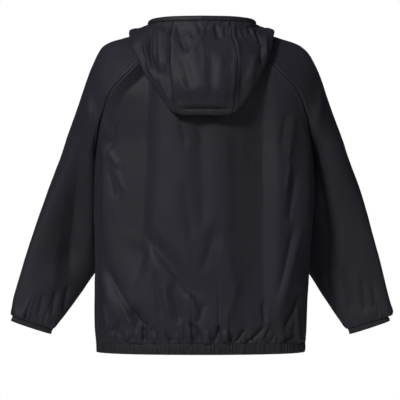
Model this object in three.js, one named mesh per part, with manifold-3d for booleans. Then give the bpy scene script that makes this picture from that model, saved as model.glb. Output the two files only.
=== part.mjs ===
// A hooded windbreaker jacket as it is worn, with nothing inside it. Every cloth piece is a thin wall of
// its own: back, two fronts, two raglan sleeves, a three-panel hood hanging down the back, elastic casings
// at hem, cuffs and hood edge, and the front zip. Millimetres: +X the wearer's left, -Y front, +Z up.
// The origin lies midway between the shoulder tips.
import * as THREE from "three";
import { mergeVertices } from "three/addons/utils/BufferGeometryUtils.js";
import Module from "manifold-3d";

// Driving dimensions.
const clothWall = 1.2;
const casingWall = 2.4; // two layers of cloth round an elastic
const seamGap = 0.3;
const frontEdge = 5; // from the centre line to each front's zip edge
const rimHeight = 9; // casing round the hood's opening

// Front zip: two tapes behind the fronts' edges, the closed teeth between them and the slider at the top.
const zip = {
  tapeWidth: 14,
  tapeWall: 0.8,
  teethHalfWidth: 2.8,
  teethWall: 2,
  teethInset: 0.9, // from the fronts' outer face to the teeth
  boxHeight: 10,
  boxWall: 3.2,
  belowRim: 9, // from the hood's free edge down to the slider's top
};
const slider = {
  halfWidth: 4.5,
  length: 13,
  plate: 1.2,
  play: 0.5, // between plates and teeth
  bridgeHalfWidth: 2,
  bridgeLength: 4,
  cornerRadius: 2,
};
const bail = { halfLength: 4, height: 4, bar: 1.3, halfWidth: 1 }; // the arch that the pull hangs in
const pull = {
  halfWidth: 3.2,
  length: 26,
  thickness: 1.3,
  barRadius: 0.7, // half the height of the bar that turns in the arch
  windowLength: 4.4,
  windowHalfWidth: 1.5,
};

// Cells of each piece's grid.
const bodyCells = 11; // from centre line to seam
const sleeveCells = 7; // from seam to the top line of the sleeve, on each side
const rimCells = 2;

// A table's rows as objects with the named columns.
const table = (columns, rows) =>
  rows.map((row) => Object.fromEntries(columns.map((name, i) => [name, row[i]])));

// Neck seam: an oval round the neck that dips to the front.
const neck = { halfWidth: 80, back: 62, front: 84, napeZ: 31, sideZ: 40, throatZ: -38 };

// Torso below the underarm, from the hem up. Each half section is two quarters of a superellipse that meet
// where it is widest. The jacket hangs a little turned, so its left side seam runs nearer the back.
const torsoSections = table(
  ["z", "halfWidth", "widestY", "leftSeamY", "rightSeamY", "back", "front", "roundBack", "roundFront"],
  [
    [-668, 229, 0, 42, 8, 97, -103, 2.3, 2.2],
    [-646, 230, 0, 41, 8, 99, -105, 2.3, 2.2],
    [-612, 233, 0, 39, 7, 107, -111, 2.3, 2.2],
    [-540, 234, 0, 33, 5, 112, -115, 2.25, 2.1],
    [-440, 237, -2, 22, 2, 115, -118, 2.2, 2.0],
    [-330, 242, -6, 6, -5, 118, -121, 2.15, 1.9],
    [-231, 240, -14, -14, -14, 120, -124, 2.1, 1.8],
  ],
);

// Torso above the underarm, from there to the neck seam: where the raglan seams run on back and front, and
// the heights and depths of the centre lines.
const yokeSections = [
  { backSeam: [231, 32, -186], frontSeam: [222, -62, -184], backMid: [121, -186], frontMid: [-126, -192] },
  { backSeam: [219, 60, -141], frontSeam: [203, -86, -134], backMid: [122, -144], frontMid: [-127, -154] },
  { backSeam: [200, 80, -97], frontSeam: [175, -96, -82], backMid: [119, -102], frontMid: [-125, -118] },
  { backSeam: [152, 86, -46], frontSeam: [130, -92, -34], backMid: [109, -56], frontMid: [-116, -86] },
  { backSeam: [101, 68, 4], frontSeam: [92, -72, -8], backMid: [87, -8], frontMid: [-101, -60] },
];
const raglanBackTurn = 50; // degrees round the neck seam from the nape
const raglanFrontTurn = 125;
const sleeveTopTurn = 88;

// Sleeve from the neck seam out to the underarm: the top line, how far the cloth swells behind and in
// front of it, and tuck, from 0 where it runs on smoothly over the raglan seam to 1 where it folds there.
const capSections = table(
  ["top", "swellBack", "swellFront", "tuck"],
  [
    [[311, -24, -219], 52, 66, 1],
    [[276, -20, -122], 48, 56, 0.75],
    [[246, -16, -40], 46, 48, 0.4],
    [[219, -13, 3], 44, 44, 0.15],
    [[170, -10, 22], 36, 36, 0.05],
    [[122, -6, 31], 26, 26, 0],
  ],
);
const neckSwell = 16;

// Sleeve below the underarm, from there to the cuff: outer line, inner line and half depths.
const armSections = table(
  ["outer", "inner", "depthBack", "depthFront"],
  [
    [[335, -28, -286], [238, -52, -300], 38, 50],
    [[359, -34, -354], [226, -82, -376], 32, 42],
    [[384, -40, -432], [222, -92, -460], 26, 36],
    [[406, -44, -508], [258, -80, -526], 24, 29],
    [[422, -46, -574], [302, -66, -590], 22, 24],
    [[418, -46, -594], [329, -58, -623], 14, 15],
    [[421, -46, -604], [333, -58, -634], 13, 14],
  ],
);

// Hood, from the nape round to the throat on one side: where each column leaves the neck seam and how high
// it stands there, the line where it folds under, its free edge, and how far its two layers swell.
const hoodSections = table(
  ["neckTurn", "rise", "fold", "rim", "swell", "lift"],
  [
    [0, 7, [0, 143, -155], [0, 110, 51], 30, 18],
    [42, 8, [60, 140, -151], [62, 98, 51], 29, 18],
    [60, 9, [100, 130, -106], [97, 74, 50], 25, 16],
    [74, 10, [134, 104, -40], [113, 42, 49], 20, 15],
    [88, 12, [156, 52, 19], [117, 6, 48], 16, 12],
    [104, 16, [153, -8, 41], [108, -32, 48], 13, 8],
    [126, 22, [118, -66, 32], [84, -68, 48], 9, 6],
    [152, 16, [64, -106, 12], [46, -94, 46], 5, 3],
    [176.4, 12, [frontEdge, -108, -6], [frontEdge, -102, 42], 2, 0],
  ],
);
const hoodClearance = 5.5; // between the hood's inner layer and the shoulders
const hoodShares = [0, 0.1, 0.2, 0.3, 0.38, 0.44, 0.48, 0.5, 0.52, 0.56, 0.62, 0.7, 0.8, 0.9, 1];

// How far the worn jacket leans to the wearer's right at each height.
const leanSections = table(
  ["z", "x"],
  [[-668, 0], [-600, 0], [-490, -3], [-425, -5], [-297, -8.5], [-120, -8], [-60, -8], [-10, -6], [12, -2], [60, -4]],
);

// The largest folds, as soft ridges (positive) and troughs along a straight line on the piece.
const backFolds = table(
  ["from", "to", "width", "depth"],
  [
    [[52, -150], [46, -420], 34, 7],
    [[-2, -160], [6, -380], 20, -6],
    [[-48, -140], [-56, -600], 36, 7],
    [[-96, -150], [-100, -560], 34, -7],
    [[-158, -170], [-164, -520], 28, 5],
    [[118, -120], [96, -340], 24, 5],
    [[142, -360], [-10, -590], 22, -8],
    [[214, -440], [130, -610], 20, -8],
    [[-190, -430], [-150, -620], 22, -7],
  ],
);
const sleeveFolds = table(["from", "to", "width", "depth"], [[[300, -260], [350, -540], 22, -6]]);

// ---- curves and tables ----

function cubicThrough(before, start, end, after, f) {
  const a = 2 * start;
  const b = (end - before) * f;
  const c = (2 * before - 5 * start + 4 * end - after) * f * f;
  const d = (3 * start - before - 3 * end + after) * f * f * f;
  return (a + b + c + d) / 2;
}

// The numbers of a table's rows at station t, on a smooth curve through the rows.
function rowAt(rows, t) {
  const last = rows.length - 1;
  const i = Math.min(Math.floor(t), last - 1);
  const pick = (k) => rows[THREE.MathUtils.clamp(k, 0, last)];
  const [before, start, end, after] = [pick(i - 1), pick(i), pick(i + 1), pick(i + 2)];
  return start.map((_, c) => cubicThrough(before[c], start[c], end[c], after[c], t - i));
}

// How far the jacket leans at a height, on a smooth curve through the table.
function leanAt(z) {
  const beyond = leanSections.findIndex((s) => s.z > z);
  const i = beyond < 1 ? (beyond === 0 ? 0 : leanSections.length - 2) : beyond - 1;
  const [low, high] = [leanSections[i], leanSections[i + 1]];
  const share = THREE.MathUtils.clamp((z - low.z) / (high.z - low.z), 0, 1);
  return rowAt(leanSections.map((s) => [s.x]), i + share)[0];
}

function stations(from, to, step) {
  const count = Math.round((to - from) / step);
  return Array.from({ length: count + 1 }, (_, i) => from + ((to - from) * i) / count);
}

// `cells` + 1 points evenly spaced along a polyline.
function evenly(line, cells) {
  const curve = new THREE.CurvePath();
  for (let i = 1; i < line.length; i++) curve.add(new THREE.LineCurve3(line[i - 1], line[i]));
  return curve.getSpacedPoints(cells);
}

// A point of the neck seam, at a turn round the neck from the nape.
function neckPoint(turnDegrees) {
  const turn = THREE.MathUtils.degToRad(turnDegrees);
  const mean = (neck.napeZ + neck.throatZ) / 2;
  const level = (mean + neck.sideZ) / 2;
  const dip = (neck.napeZ - neck.throatZ) / 2;
  return new THREE.Vector3(
    neck.halfWidth * Math.sin(turn),
    (Math.cos(turn) > 0 ? neck.back : neck.front) * Math.cos(turn),
    level + dip * Math.cos(turn) + (mean - level) * Math.cos(2 * turn),
  );
}

const hoodSeamSection = 1; // the row of hoodSections along which centre and side panel are sewn
const hoodLast = hoodSections.length - 1;
const centreStations = stations(0, hoodSeamSection, 1 / 3);
const sideStations = [...stations(hoodSeamSection, 7.3, 0.7), 7.65, hoodLast];
const hoodRows = hoodSections.map((s) => [s.neckTurn, ...s.fold, ...s.rim, s.swell, s.lift, s.rise]);
const neckTurns = [...centreStations, ...sideStations.slice(1)].map((station) => rowAt(hoodRows, station)[0]);

// A stretch of the neck seam, which runs straight from one column of the hood to the next.
function neckRun(fromTurn, toTurn) {
  const onSeam = (turn) => {
    const next = neckTurns.findIndex((corner) => corner >= turn - 1e-6);
    const [a, b] = [neckTurns[Math.max(0, next - 1)], neckTurns[next]];
    return neckPoint(a).lerp(neckPoint(b), a === b ? 0 : (turn - a) / (b - a));
  };
  const [low, high] = [Math.min(fromTurn, toTurn), Math.max(fromTurn, toTurn)];
  const corners = neckTurns.filter((turn) => turn > low + 0.01 && turn < high - 0.01);
  const run = [low, ...corners, high].map(onSeam);
  return fromTurn < toTurn ? run : run.reverse();
}

// ---- torso ----

const underarmStation = torsoSections.length - 1;
const neckStation = underarmStation + yokeSections.length + 1;

// A superellipse's two quarters on one side of the body: from the middle of the back, where the turn is a
// right angle, past the widest place at 0 to the middle of the front.
const quarter = (outline, behind) => ({
  depth: (behind ? outline.back : outline.front) - outline.widestY,
  power: 2 / (behind ? outline.roundBack : outline.roundFront),
});

function turnAt(outline, y) {
  const behind = y > outline.widestY;
  const { depth, power } = quarter(outline, behind);
  const turn = Math.asin(((y - outline.widestY) / depth) ** (1 / power));
  return behind ? turn : -turn;
}

function outlinePoint(outline, turn) {
  const { depth, power } = quarter(outline, turn > 0);
  const x = Math.cos(turn) ** power;
  return { x, y: outline.widestY + depth * Math.abs(Math.sin(turn)) ** power };
}

const outlineColumns = ["widestY", "back", "front", "roundBack", "roundFront", "backZ", "frontZ"];
const outlineRows = [
  ...torsoSections.map((s) => ({ ...s, backZ: s.z, frontZ: s.z })),
  ...yokeSections.map((s) => ({
    ...torsoSections[underarmStation],
    back: s.backMid[0], front: s.frontMid[0], backZ: s.backMid[1], frontZ: s.frontMid[1],
  })),
  {
    widestY: 0, back: neckPoint(0).y, front: neckPoint(180).y, roundBack: 2, roundFront: 2,
    backZ: neckPoint(0).z, frontZ: neckPoint(180).z,
  },
].map((s) => outlineColumns.map((name) => s[name]));

const outlineAt = (station) =>
  Object.fromEntries(rowAt(outlineRows, station).map((value, i) => [outlineColumns[i], value]));

// Side seams below the underarm, as [x, y, z] for each section.
function sideSeam(seamColumn) {
  return torsoSections.map((s) => {
    const outline = { ...s, backZ: s.z, frontZ: s.z };
    return [s.halfWidth * outlinePoint(outline, turnAt(outline, s[seamColumn])).x, s[seamColumn], s.z];
  });
}
const sideSeams = { left: sideSeam("leftSeamY"), right: sideSeam("rightSeamY") };
const underarm = sideSeams.left[underarmStation];
const raglanSeams = {
  back: [underarm, ...yokeSections.map((s) => s.backSeam), [...neckRun(raglanBackTurn, 180)[0]]],
  front: [underarm, ...yokeSections.map((s) => s.frontSeam), [...neckRun(raglanFrontTurn, 180)[0]]],
};

function seamPoint(panel, side, station) {
  const below = station <= underarmStation;
  return below ? rowAt(sideSeams[side], station) : rowAt(raglanSeams[panel], station - underarmStation);
}

// Half a section of one panel, from the distance `start` beside the centre line out to the seam.
function halfSection(panel, side, station, start) {
  if (station === neckStation) {
    return panel === "back" ? neckRun(0, raglanBackTurn) : neckRun(hoodSections[hoodLast].neckTurn, raglanFrontTurn);
  }
  const outline = outlineAt(station);
  const [seamX, seamY, seamZ] = seamPoint(panel, side, station);
  const [midY, midZ] = panel === "back" ? [outline.back, outline.backZ] : [outline.front, outline.frontZ];
  const seamTurn = turnAt(outline, seamY);
  const reach = seamX / outlinePoint(outline, seamTurn).x;
  const { power } = quarter(outline, panel === "back");
  const startTurn = Math.acos((start / reach) ** (1 / power)) * (panel === "back" ? 1 : -1);
  const steps = 60;
  const line = [];
  for (let k = 0; k <= steps; k++) {
    const { x, y } = outlinePoint(outline, THREE.MathUtils.lerp(startTurn, seamTurn, k / steps));
    const share = (y - seamY) / (midY - seamY);
    line.push(new THREE.Vector3(reach * x, y, seamZ + (midZ - seamZ) * share));
  }
  line[steps].set(seamX, seamY, seamZ);
  return line;
}

const mirrored = (point) => new THREE.Vector3(-point.x, point.y, point.z);

const bandStation = 1; // the hem casing's upper edge
const torsoStations = [bandStation, 2, 2.5, ...stations(3, neckStation, 0.5)];
const raglanStations = stations(underarmStation, neckStation, 0.5);

function backRow(station) {
  const [left, right] = ["left", "right"].map((side) =>
    evenly(halfSection("back", side, station, 0), bodyCells),
  );
  return [...left.slice(1).reverse(), ...right.map(mirrored)];
}

const frontRow = (side) => (station) => evenly(halfSection("front", side, station, frontEdge), bodyCells);

// ---- sleeve ----

const sleeveDown = new THREE.Vector3(0.33, -0.05, -0.94).normalize();

function bezier(start, startHandle, endHandle, end) {
  return new THREE.CubicBezierCurve3(
    start, start.clone().add(startHandle), end.clone().add(endHandle), end,
  ).getPoints(40);
}

// A row of the sleeve, from the front seam over the top line to the back seam.
function sleeveRow(front, top, back, frontHandle, backHandle, swellFront, swellBack) {
  const middle = front.clone().lerp(back, 0.5);
  const rearward = top.clone().sub(middle).cross(sleeveDown).normalize();
  const toTop = bezier(front, frontHandle(rearward), rearward.clone().multiplyScalar(-swellFront), top);
  const toBack = bezier(top, rearward.clone().multiplyScalar(swellBack), backHandle(rearward), back);
  return [...evenly(toTop, sleeveCells), ...evenly(toBack, sleeveCells).slice(1)];
}

const capRows = [
  ...capSections.map((s) => [...s.top, s.swellBack, s.swellFront, s.tuck]),
  [...neckPoint(sleeveTopTurn), neckSwell, neckSwell, 0],
];

// The torso's own direction where a section reaches its seam.
function seamHeading(panel, station) {
  const line = halfSection(panel, "left", station, 0);
  return line[line.length - 1].clone().sub(line[line.length - 4]).normalize();
}

function capRow(station) {
  if (station === neckStation) {
    const [front, back] = [neckRun(raglanFrontTurn, sleeveTopTurn), neckRun(sleeveTopTurn, raglanBackTurn)];
    return [...evenly(front, sleeveCells), ...evenly(back, sleeveCells).slice(1)];
  }
  const [x, y, z, swellBack, swellFront, tuck] = rowAt(capRows, station - underarmStation);
  const onSeam = (panel) => new THREE.Vector3(...rowAt(raglanSeams[panel], station - underarmStation));
  const handle = (panel, sign, swell) => (rearward) =>
    seamHeading(panel, station)
      .multiplyScalar(1 - tuck)
      .addScaledVector(rearward, sign * tuck)
      .normalize()
      .multiplyScalar(swell * (0.6 + 0.4 * tuck));
  return sleeveRow(
    onSeam("front"), new THREE.Vector3(x, y, z), onSeam("back"),
    handle("front", -1, swellFront), handle("back", 1, swellBack), swellFront, swellBack,
  );
}

const bezierDepth = 4 / 3; // handle length over the depth of a half oval
const armRows = [
  [...capSections[0].top, ...underarm, capSections[0].swellBack, capSections[0].swellFront],
  ...armSections.map((s) => [
    ...s.outer, ...s.inner, s.depthBack * bezierDepth, s.depthFront * bezierDepth,
  ]),
];
const cuffStation = armSections.length - 1; // where the sleeve ends and its casing starts

function armRow(station) {
  const row = rowAt(armRows, station);
  const top = new THREE.Vector3(...row.slice(0, 3));
  const inner = new THREE.Vector3(...row.slice(3, 6));
  const [swellBack, swellFront] = row.slice(6);
  return sleeveRow(
    inner, top, inner,
    (rearward) => rearward.clone().multiplyScalar(-swellFront),
    (rearward) => rearward.clone().multiplyScalar(swellBack), swellFront, swellBack,
  );
}

// ---- hood ----

// Points and outward directions of the shoulders that the hood lies on.
function surfaceSamples(points) {
  const normals = normalsOf(points);
  return points.flatMap((row, i) => row.map((point, j) => ({ point, normal: normals[i][j] })));
}
const shoulderStations = stations(underarmStation + 1, neckStation, 0.25);
const shoulders = [
  ...surfaceSamples(shoulderStations.map(backRow)),
  ...surfaceSamples(shoulderStations.map(frontRow("left"))),
  ...surfaceSamples(shoulderStations.map(capRow)),
];

// Lifts a point until it is clear of the shoulders.
function clearOfShoulders(point, clearance) {
  const squared = (sample) => sample.point.distanceToSquared(point);
  const nearest = shoulders.reduce((best, sample) => (squared(sample) < squared(best) ? sample : best));
  const height = point.clone().sub(nearest.point).dot(nearest.normal);
  const missing = Math.max(0, clearance - height);
  return point.clone().addScaledVector(nearest.normal, missing);
}

// A column of the hood, from the neck seam down under the fold and up to the free edge.
function hoodColumn(station) {
  const row = rowAt(hoodRows, station);
  const [neckTurn, , , , , , , swell, lift, rise] = row;
  const start = neckPoint(neckTurn);
  const fold = new THREE.Vector3(...row.slice(1, 4));
  const rim = new THREE.Vector3(...row.slice(4, 7));
  const outward = new THREE.Vector3(fold.x, fold.y, 0).normalize();
  const crest = start.clone().addScaledVector(outward, 10).add(new THREE.Vector3(0, 0, rise));
  const inner = start.clone().lerp(fold, 0.5).addScaledVector(outward, lift);
  const outer = fold.clone().lerp(rim, 0.45).addScaledVector(outward, swell);
  const under = new THREE.CatmullRomCurve3([start, crest, inner, fold], false, "centripetal");
  const over = new THREE.CatmullRomCurve3([fold, outer, rim], false, "centripetal");
  return hoodShares.map((share, i) => {
    const layer = share < 0.5 ? under.getPointAt(share * 2) : over.getPointAt(share * 2 - 1);
    return i === 0 ? layer : clearOfShoulders(layer, Math.min(hoodClearance, 4 * i));
  });
}

// ---- sheets of cloth ----

const piece = (name, points, wall, finish) => ({ name, points, wall, finish });

// A grid's slope at one place along one direction; exact enough at the rims to meet the next piece.
function slope(at, index, last) {
  if (index > 0 && index < last) return at(index + 1).clone().sub(at(index - 1));
  const step = index === 0 ? 1 : -1;
  const near = at(index + step).clone().sub(at(index));
  if (last < 2) return near.multiplyScalar(step);
  const far = at(index + 2 * step).clone().sub(at(index));
  const ratio = far.length() / near.length();
  return near.multiplyScalar(ratio).addScaledVector(far, -1 / ratio).multiplyScalar(step);
}

function normalsOf(points) {
  const lastRow = points.length - 1;
  const lastColumn = points[0].length - 1;
  return points.map((row, i) =>
    row.map((_, j) => {
      const across = slope((k) => points[i][k], j, lastColumn);
      const along = slope((k) => points[k][j], i, lastRow);
      return across.cross(along).normalize();
    }),
  );
}

// Moves a piece's inner points out along its ridges and in along its troughs; its rims stay sewn.
function withFolds(points, folds, fadeCells) {
  const normals = normalsOf(points);
  const rimDistance = (i, j) => Math.min(i, j, points.length - 1 - i, points[0].length - 1 - j);
  return points.map((row, i) =>
    row.map((p, j) => {
      const fade = THREE.MathUtils.smoothstep(rimDistance(i, j), 0, fadeCells);
      return p.clone().addScaledVector(normals[i][j], fade * foldHeight(folds, p));
    }),
  );
}

function foldHeight(folds, point) {
  const here = new THREE.Vector2(point.x, point.z);
  return folds.reduce((sum, fold) => {
    const start = new THREE.Vector2(...fold.from);
    const run = new THREE.Vector2(...fold.to).sub(start);
    const share = here.clone().sub(start).dot(run) / run.lengthSq();
    const ends = THREE.MathUtils.smoothstep(share, -0.15, 0.25) * THREE.MathUtils.smoothstep(-share, -1.15, -0.8);
    const aside = here.distanceTo(start.addScaledVector(run, share)) / fold.width;
    return sum + fold.depth * ends * Math.exp(-aside * aside);
  }, 0);
}

function rimCellsOf(points) {
  const lastRow = points.length - 1;
  const lastColumn = points[0].length - 1;
  const cells = [];
  points.forEach((row, i) =>
    row.forEach((_, j) => {
      if (i === 0 || j === 0 || i === lastRow || j === lastColumn) cells.push([i, j]);
    }),
  );
  return cells;
}

// Where pieces are sewn together their walls share one direction, so that they meet edge to edge.
function shareSeamNormals(pieces) {
  const seams = new Map();
  for (const p of pieces) {
    p.normals = normalsOf(p.points);
    for (const [i, j] of rimCellsOf(p.points)) {
      const key = p.points[i][j].toArray().map((c) => Math.round(c * 20)).join();
      if (!seams.has(key)) seams.set(key, []);
      seams.get(key).push(p.normals[i][j]);
    }
  }
  for (const met of seams.values()) {
    const shared = met.reduce((sum, n) => sum.add(n), new THREE.Vector3()).normalize();
    met.forEach((n) => n.copy(shared));
  }
}

// Draws a grid's rim in by half the seam gap, square to the rim.
function drawnIn(points) {
  const lastRow = points.length - 1;
  const lastColumn = points[0].length - 1;
  const result = points.map((row) => row.map((p) => p.clone()));
  const draw = (i, j, toI, toJ, edgeI, edgeJ) => {
    const inward = points[toI][toJ].clone().sub(points[i][j]);
    const edge = points[edgeI][edgeJ].clone().sub(points[i][j]).normalize();
    inward.addScaledVector(edge, -inward.dot(edge)).normalize();
    result[i][j].addScaledVector(inward, seamGap / 2);
  };
  for (const [i, j] of rimCellsOf(points)) {
    const nextI = i < lastRow ? i + 1 : i - 1;
    const nextJ = j < lastColumn ? j + 1 : j - 1;
    if (i === 0 || i === lastRow) draw(i, j, i === 0 ? 1 : i - 1, j, i, nextJ);
    if (j === 0 || j === lastColumn) draw(i, j, i, j === 0 ? 1 : j - 1, nextI, j);
  }
  return result;
}

// The closed wall of a grid: its outer face, the inner face a wall's thickness in, and the rim between.
function wallGeometry({ points, normals, wall }) {
  const outer = drawnIn(points);
  const rows = points.length;
  const columns = points[0].length;
  const positions = [];
  for (const row of outer) row.forEach((p) => positions.push(...p));
  outer.forEach((row, i) =>
    row.forEach((p, j) => positions.push(...p.clone().addScaledVector(normals[i][j], -wall))),
  );
  const inside = rows * columns;
  const index = [];
  const place = (k) => new THREE.Vector3().fromArray(positions, 3 * k);
  const quad = (a, b, c, d) => {
    const split = place(a).distanceTo(place(c)) < place(b).distanceTo(place(d));
    index.push(...(split ? [a, b, c, a, c, d] : [a, b, d, b, c, d]));
  };
  for (let i = 0; i < rows - 1; i++) {
    for (let j = 0; j < columns - 1; j++) {
      const a = i * columns + j;
      quad(a, a + 1, a + columns + 1, a + columns);
      quad(inside + a, inside + a + columns, inside + a + columns + 1, inside + a + 1);
    }
  }
  const rim = (a, b) => quad(b, a, inside + a, inside + b);
  for (let j = 0; j < columns - 1; j++) {
    rim(j, j + 1);
    rim((rows - 1) * columns + j + 1, (rows - 1) * columns + j);
  }
  for (let i = 0; i < rows - 1; i++) {
    rim((i + 1) * columns, i * columns);
    rim(i * columns + columns - 1, (i + 1) * columns + columns - 1);
  }
  const geometry = new THREE.BufferGeometry();
  geometry.setAttribute("position", new THREE.Float32BufferAttribute(positions, 3));
  geometry.setIndex(index);
  return geometry;
}

const mirroredGrid = (points) => points.map((row) => row.map(mirrored).reverse());

// ---- finishes ----

const finishes = {
  shell: new THREE.MeshStandardMaterial({ color: 0x24252c, roughness: 0.42, metalness: 0 }),
  casing: new THREE.MeshStandardMaterial({ color: 0x202127, roughness: 0.55, metalness: 0 }),
  tape: new THREE.MeshStandardMaterial({ color: 0x1b1c20, roughness: 0.8, metalness: 0 }),
  teeth: new THREE.MeshStandardMaterial({ color: 0x17181c, roughness: 0.4, metalness: 0 }),
  slider: new THREE.MeshStandardMaterial({ color: 0x1d1e22, roughness: 0.35, metalness: 0.7 }),
};

// ---- the pieces ----

function torsoPieces() {
  const back = withFolds(torsoStations.map(backRow), backFolds, 1.5);
  const front = (side) => [0, ...torsoStations].map(frontRow(side));
  return [
    piece("back", back, clothWall, "shell"),
    piece("hem_casing", [0, bandStation].map(backRow), casingWall, "casing"),
    piece("front_left", front("left"), clothWall, "shell"),
    piece("front_right", mirroredGrid(front("right")), clothWall, "shell"),
  ];
}

function sleevePieces() {
  const armStations = [...stations(0.5, 5, 0.5), cuffStation - 1 + 0.5, cuffStation];
  const sleeve = withFolds([...armStations.reverse().map(armRow), ...raglanStations.map(capRow)], sleeveFolds, 1.5);
  const cuff = [cuffStation + 1, cuffStation].map(armRow);
  return [
    piece("sleeve_left", sleeve, clothWall, "shell"),
    piece("sleeve_right", mirroredGrid(sleeve), clothWall, "shell"),
    piece("cuff_left", cuff, casingWall, "casing"),
    piece("cuff_right", mirroredGrid(cuff), casingWall, "casing"),
  ];
}

// The hood's columns become a grid whose rows run from the neck seam to the free edge.
function acrossHood(columns) {
  return columns[0].map((_, i) => columns.map((column) => column[i]));
}

function hoodPieces() {
  const half = centreStations.map(hoodColumn);
  const sideColumns = sideStations.map(hoodColumn);
  const centre = acrossHood([...half.slice(1).reverse(), ...half.map((c) => c.map(mirrored))]);
  const left = acrossHood(sideColumns.reverse());
  return [
    piece("hood_centre", centre, clothWall, "shell"),
    piece("hood_side_left", left, clothWall, "shell"),
    piece("hood_side_right", mirroredGrid(left), clothWall, "shell"),
    piece("hood_rim", rimGrid(left, centre), casingWall, "casing"),
  ];
}

// The casing stands on the hood's free edge and leans in a little at its top.
function rimGrid(left, centre) {
  const topRow = (grid) => grid[grid.length - 1];
  const edge = [...topRow(left), ...topRow(centre).slice(1), ...topRow(mirroredGrid(left)).slice(1)];
  const rise = (share) =>
    edge.map((p) => {
      const inward = new THREE.Vector3(-p.x, -p.y, 0).normalize();
      return p.clone().addScaledVector(inward, 3 * share * share).add(new THREE.Vector3(0, 0, rimHeight * share));
    });
  return stations(0, 1, 1 / rimCells).map(rise);
}

// ---- zip ----

// Values given at a row's points, read at a distance from the row's first point; negative ones reach past it.
function alongRow(row, values, distance) {
  const cell = row[0].distanceTo(row[1]);
  const i = THREE.MathUtils.clamp(Math.floor(distance / cell), 0, row.length - 2);
  return values[i].clone().lerp(values[i + 1], distance / cell - i);
}

// Rows from hem to hood edge beside the zip edge of one side's cloth, at distances from it and moved in, with
// a little more room farther from the edge.
function besideZip(cloths, side, distances, inset) {
  const names = [`front_${side}`, `hood_side_${side}`];
  return names.flatMap((name, k) => {
    const { points, normals } = cloths.find((cloth) => cloth.name === name);
    const fromEdge = (row) => (side === "left" ? row : [...row].reverse());
    const rows = points.map((row, i) =>
      distances.map((distance) => {
        const normal = alongRow(fromEdge(row), fromEdge(normals[i]), distance).setX(0).normalize();
        const room = inset + Math.max(0, distance) * 0.05;
        return alongRow(fromEdge(row), fromEdge(row), distance).addScaledVector(normal, -room);
      }),
    );
    return rows.slice(k);
  });
}

// The rows between two heights, with a new row at each end.
function clippedRows(rows, low, high) {
  const height = (row) => row[0].z;
  const at = (z) => {
    const i = rows.findIndex((row) => height(row) > z);
    const share = (z - height(rows[i - 1])) / (height(rows[i]) - height(rows[i - 1]));
    return rows[i - 1].map((p, j) => p.clone().lerp(rows[i][j], share));
  };
  const between = rows.filter((row) => height(row) > low + 1 && height(row) < high - 1);
  return [at(low), ...between, at(high)];
}

function zipTapes(cloths) {
  const start = zip.teethHalfWidth + seamGap - frontEdge;
  const distances = [start, start + zip.tapeWidth / 2, start + zip.tapeWidth];
  const inset = clothWall + 3 * seamGap;
  const left = besideZip(cloths, "left", distances, inset);
  const right = besideZip(cloths, "right", distances, inset).map((row) => row.reverse());
  return [
    piece("zip_tape_left", left, zip.tapeWall, "tape"),
    piece("zip_tape_right", right, zip.tapeWall, "tape"),
  ];
}

// Rows of two points across the centre line, `inset` in from the fronts' outer face.
function zipCentre(cloths, halfWidth, inset) {
  const beside = (side) => besideZip(cloths, side, [halfWidth - frontEdge], inset);
  const left = beside("left");
  return beside("right").map(([p], i) => {
    const middle = p.clone().lerp(left[i][0], 0.5);
    return [-halfWidth, halfWidth].map((x) => middle.clone().setX(middle.x + x));
  });
}

// The frame of a stiff piece on the zip at a height: x across, y up along it and z out from the fronts.
function zipFrame(centre, z) {
  const [row] = clippedRows(centre, z, centre[centre.length - 1][0].z - 0.01);
  const [above] = clippedRows(centre, z + 4, centre[centre.length - 1][0].z - 0.01);
  const at = ([right, left]) => right.clone().lerp(left, 0.5);
  const across = new THREE.Vector3(1, 0, 0);
  const up = at(above).sub(at(row)).setX(0).normalize();
  const out = across.clone().cross(up);
  return { at: at(row), across, up, out };
}

// Turns a shape drawn in two of the frame's directions into a plate along the third.
function plate(shape, thickness, frame, axes, offset) {
  const geometry = new THREE.ExtrudeGeometry(shape, { depth: thickness, bevelEnabled: false, curveSegments: 6 });
  const [a, b, c] = axes.map((name) => frame[name]);
  geometry.applyMatrix4(new THREE.Matrix4().makeBasis(a, b, c).setPosition(frame.at));
  const [x, y, z] = offset;
  const shift = new THREE.Vector3();
  shift.addScaledVector(frame.across, x).addScaledVector(frame.up, y).addScaledVector(frame.out, z);
  return geometry.translate(...shift);
}
const flat = ["across", "up", "out"];
const edgewise = ["up", "out", "across"];

function roundedShape(halfWidth, bottom, top, radius) {
  const shape = new THREE.Shape();
  shape.moveTo(-halfWidth + radius, bottom);
  shape.lineTo(halfWidth - radius, bottom);
  shape.quadraticCurveTo(halfWidth, bottom, halfWidth, bottom + radius);
  shape.lineTo(halfWidth, top - radius);
  shape.quadraticCurveTo(halfWidth, top, halfWidth - radius, top);
  shape.lineTo(-halfWidth + radius, top);
  shape.quadraticCurveTo(-halfWidth, top, -halfWidth, top - radius);
  shape.lineTo(-halfWidth, bottom + radius);
  shape.quadraticCurveTo(-halfWidth, bottom, -halfWidth + radius, bottom);
  return shape;
}

const wasm = await Module();
wasm.setup();

function joined(geometries) {
  const solids = geometries.map((geometry) => {
    const bare = geometry.clone();
    bare.deleteAttribute("normal");
    bare.deleteAttribute("uv");
    const merged = mergeVertices(bare, 1e-4);
    const triVerts = new Uint32Array(merged.index.array);
    return new wasm.Manifold(
      new wasm.Mesh({ numProp: 3, vertProperties: merged.attributes.position.array, triVerts }),
    );
  });
  const mesh = solids.reduce((sum, solid) => sum.add(solid)).getMesh();
  const geometry = new THREE.BufferGeometry();
  geometry.setAttribute("position", new THREE.BufferAttribute(mesh.vertProperties, 3));
  return geometry.setIndex(new THREE.BufferAttribute(mesh.triVerts, 1));
}

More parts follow.
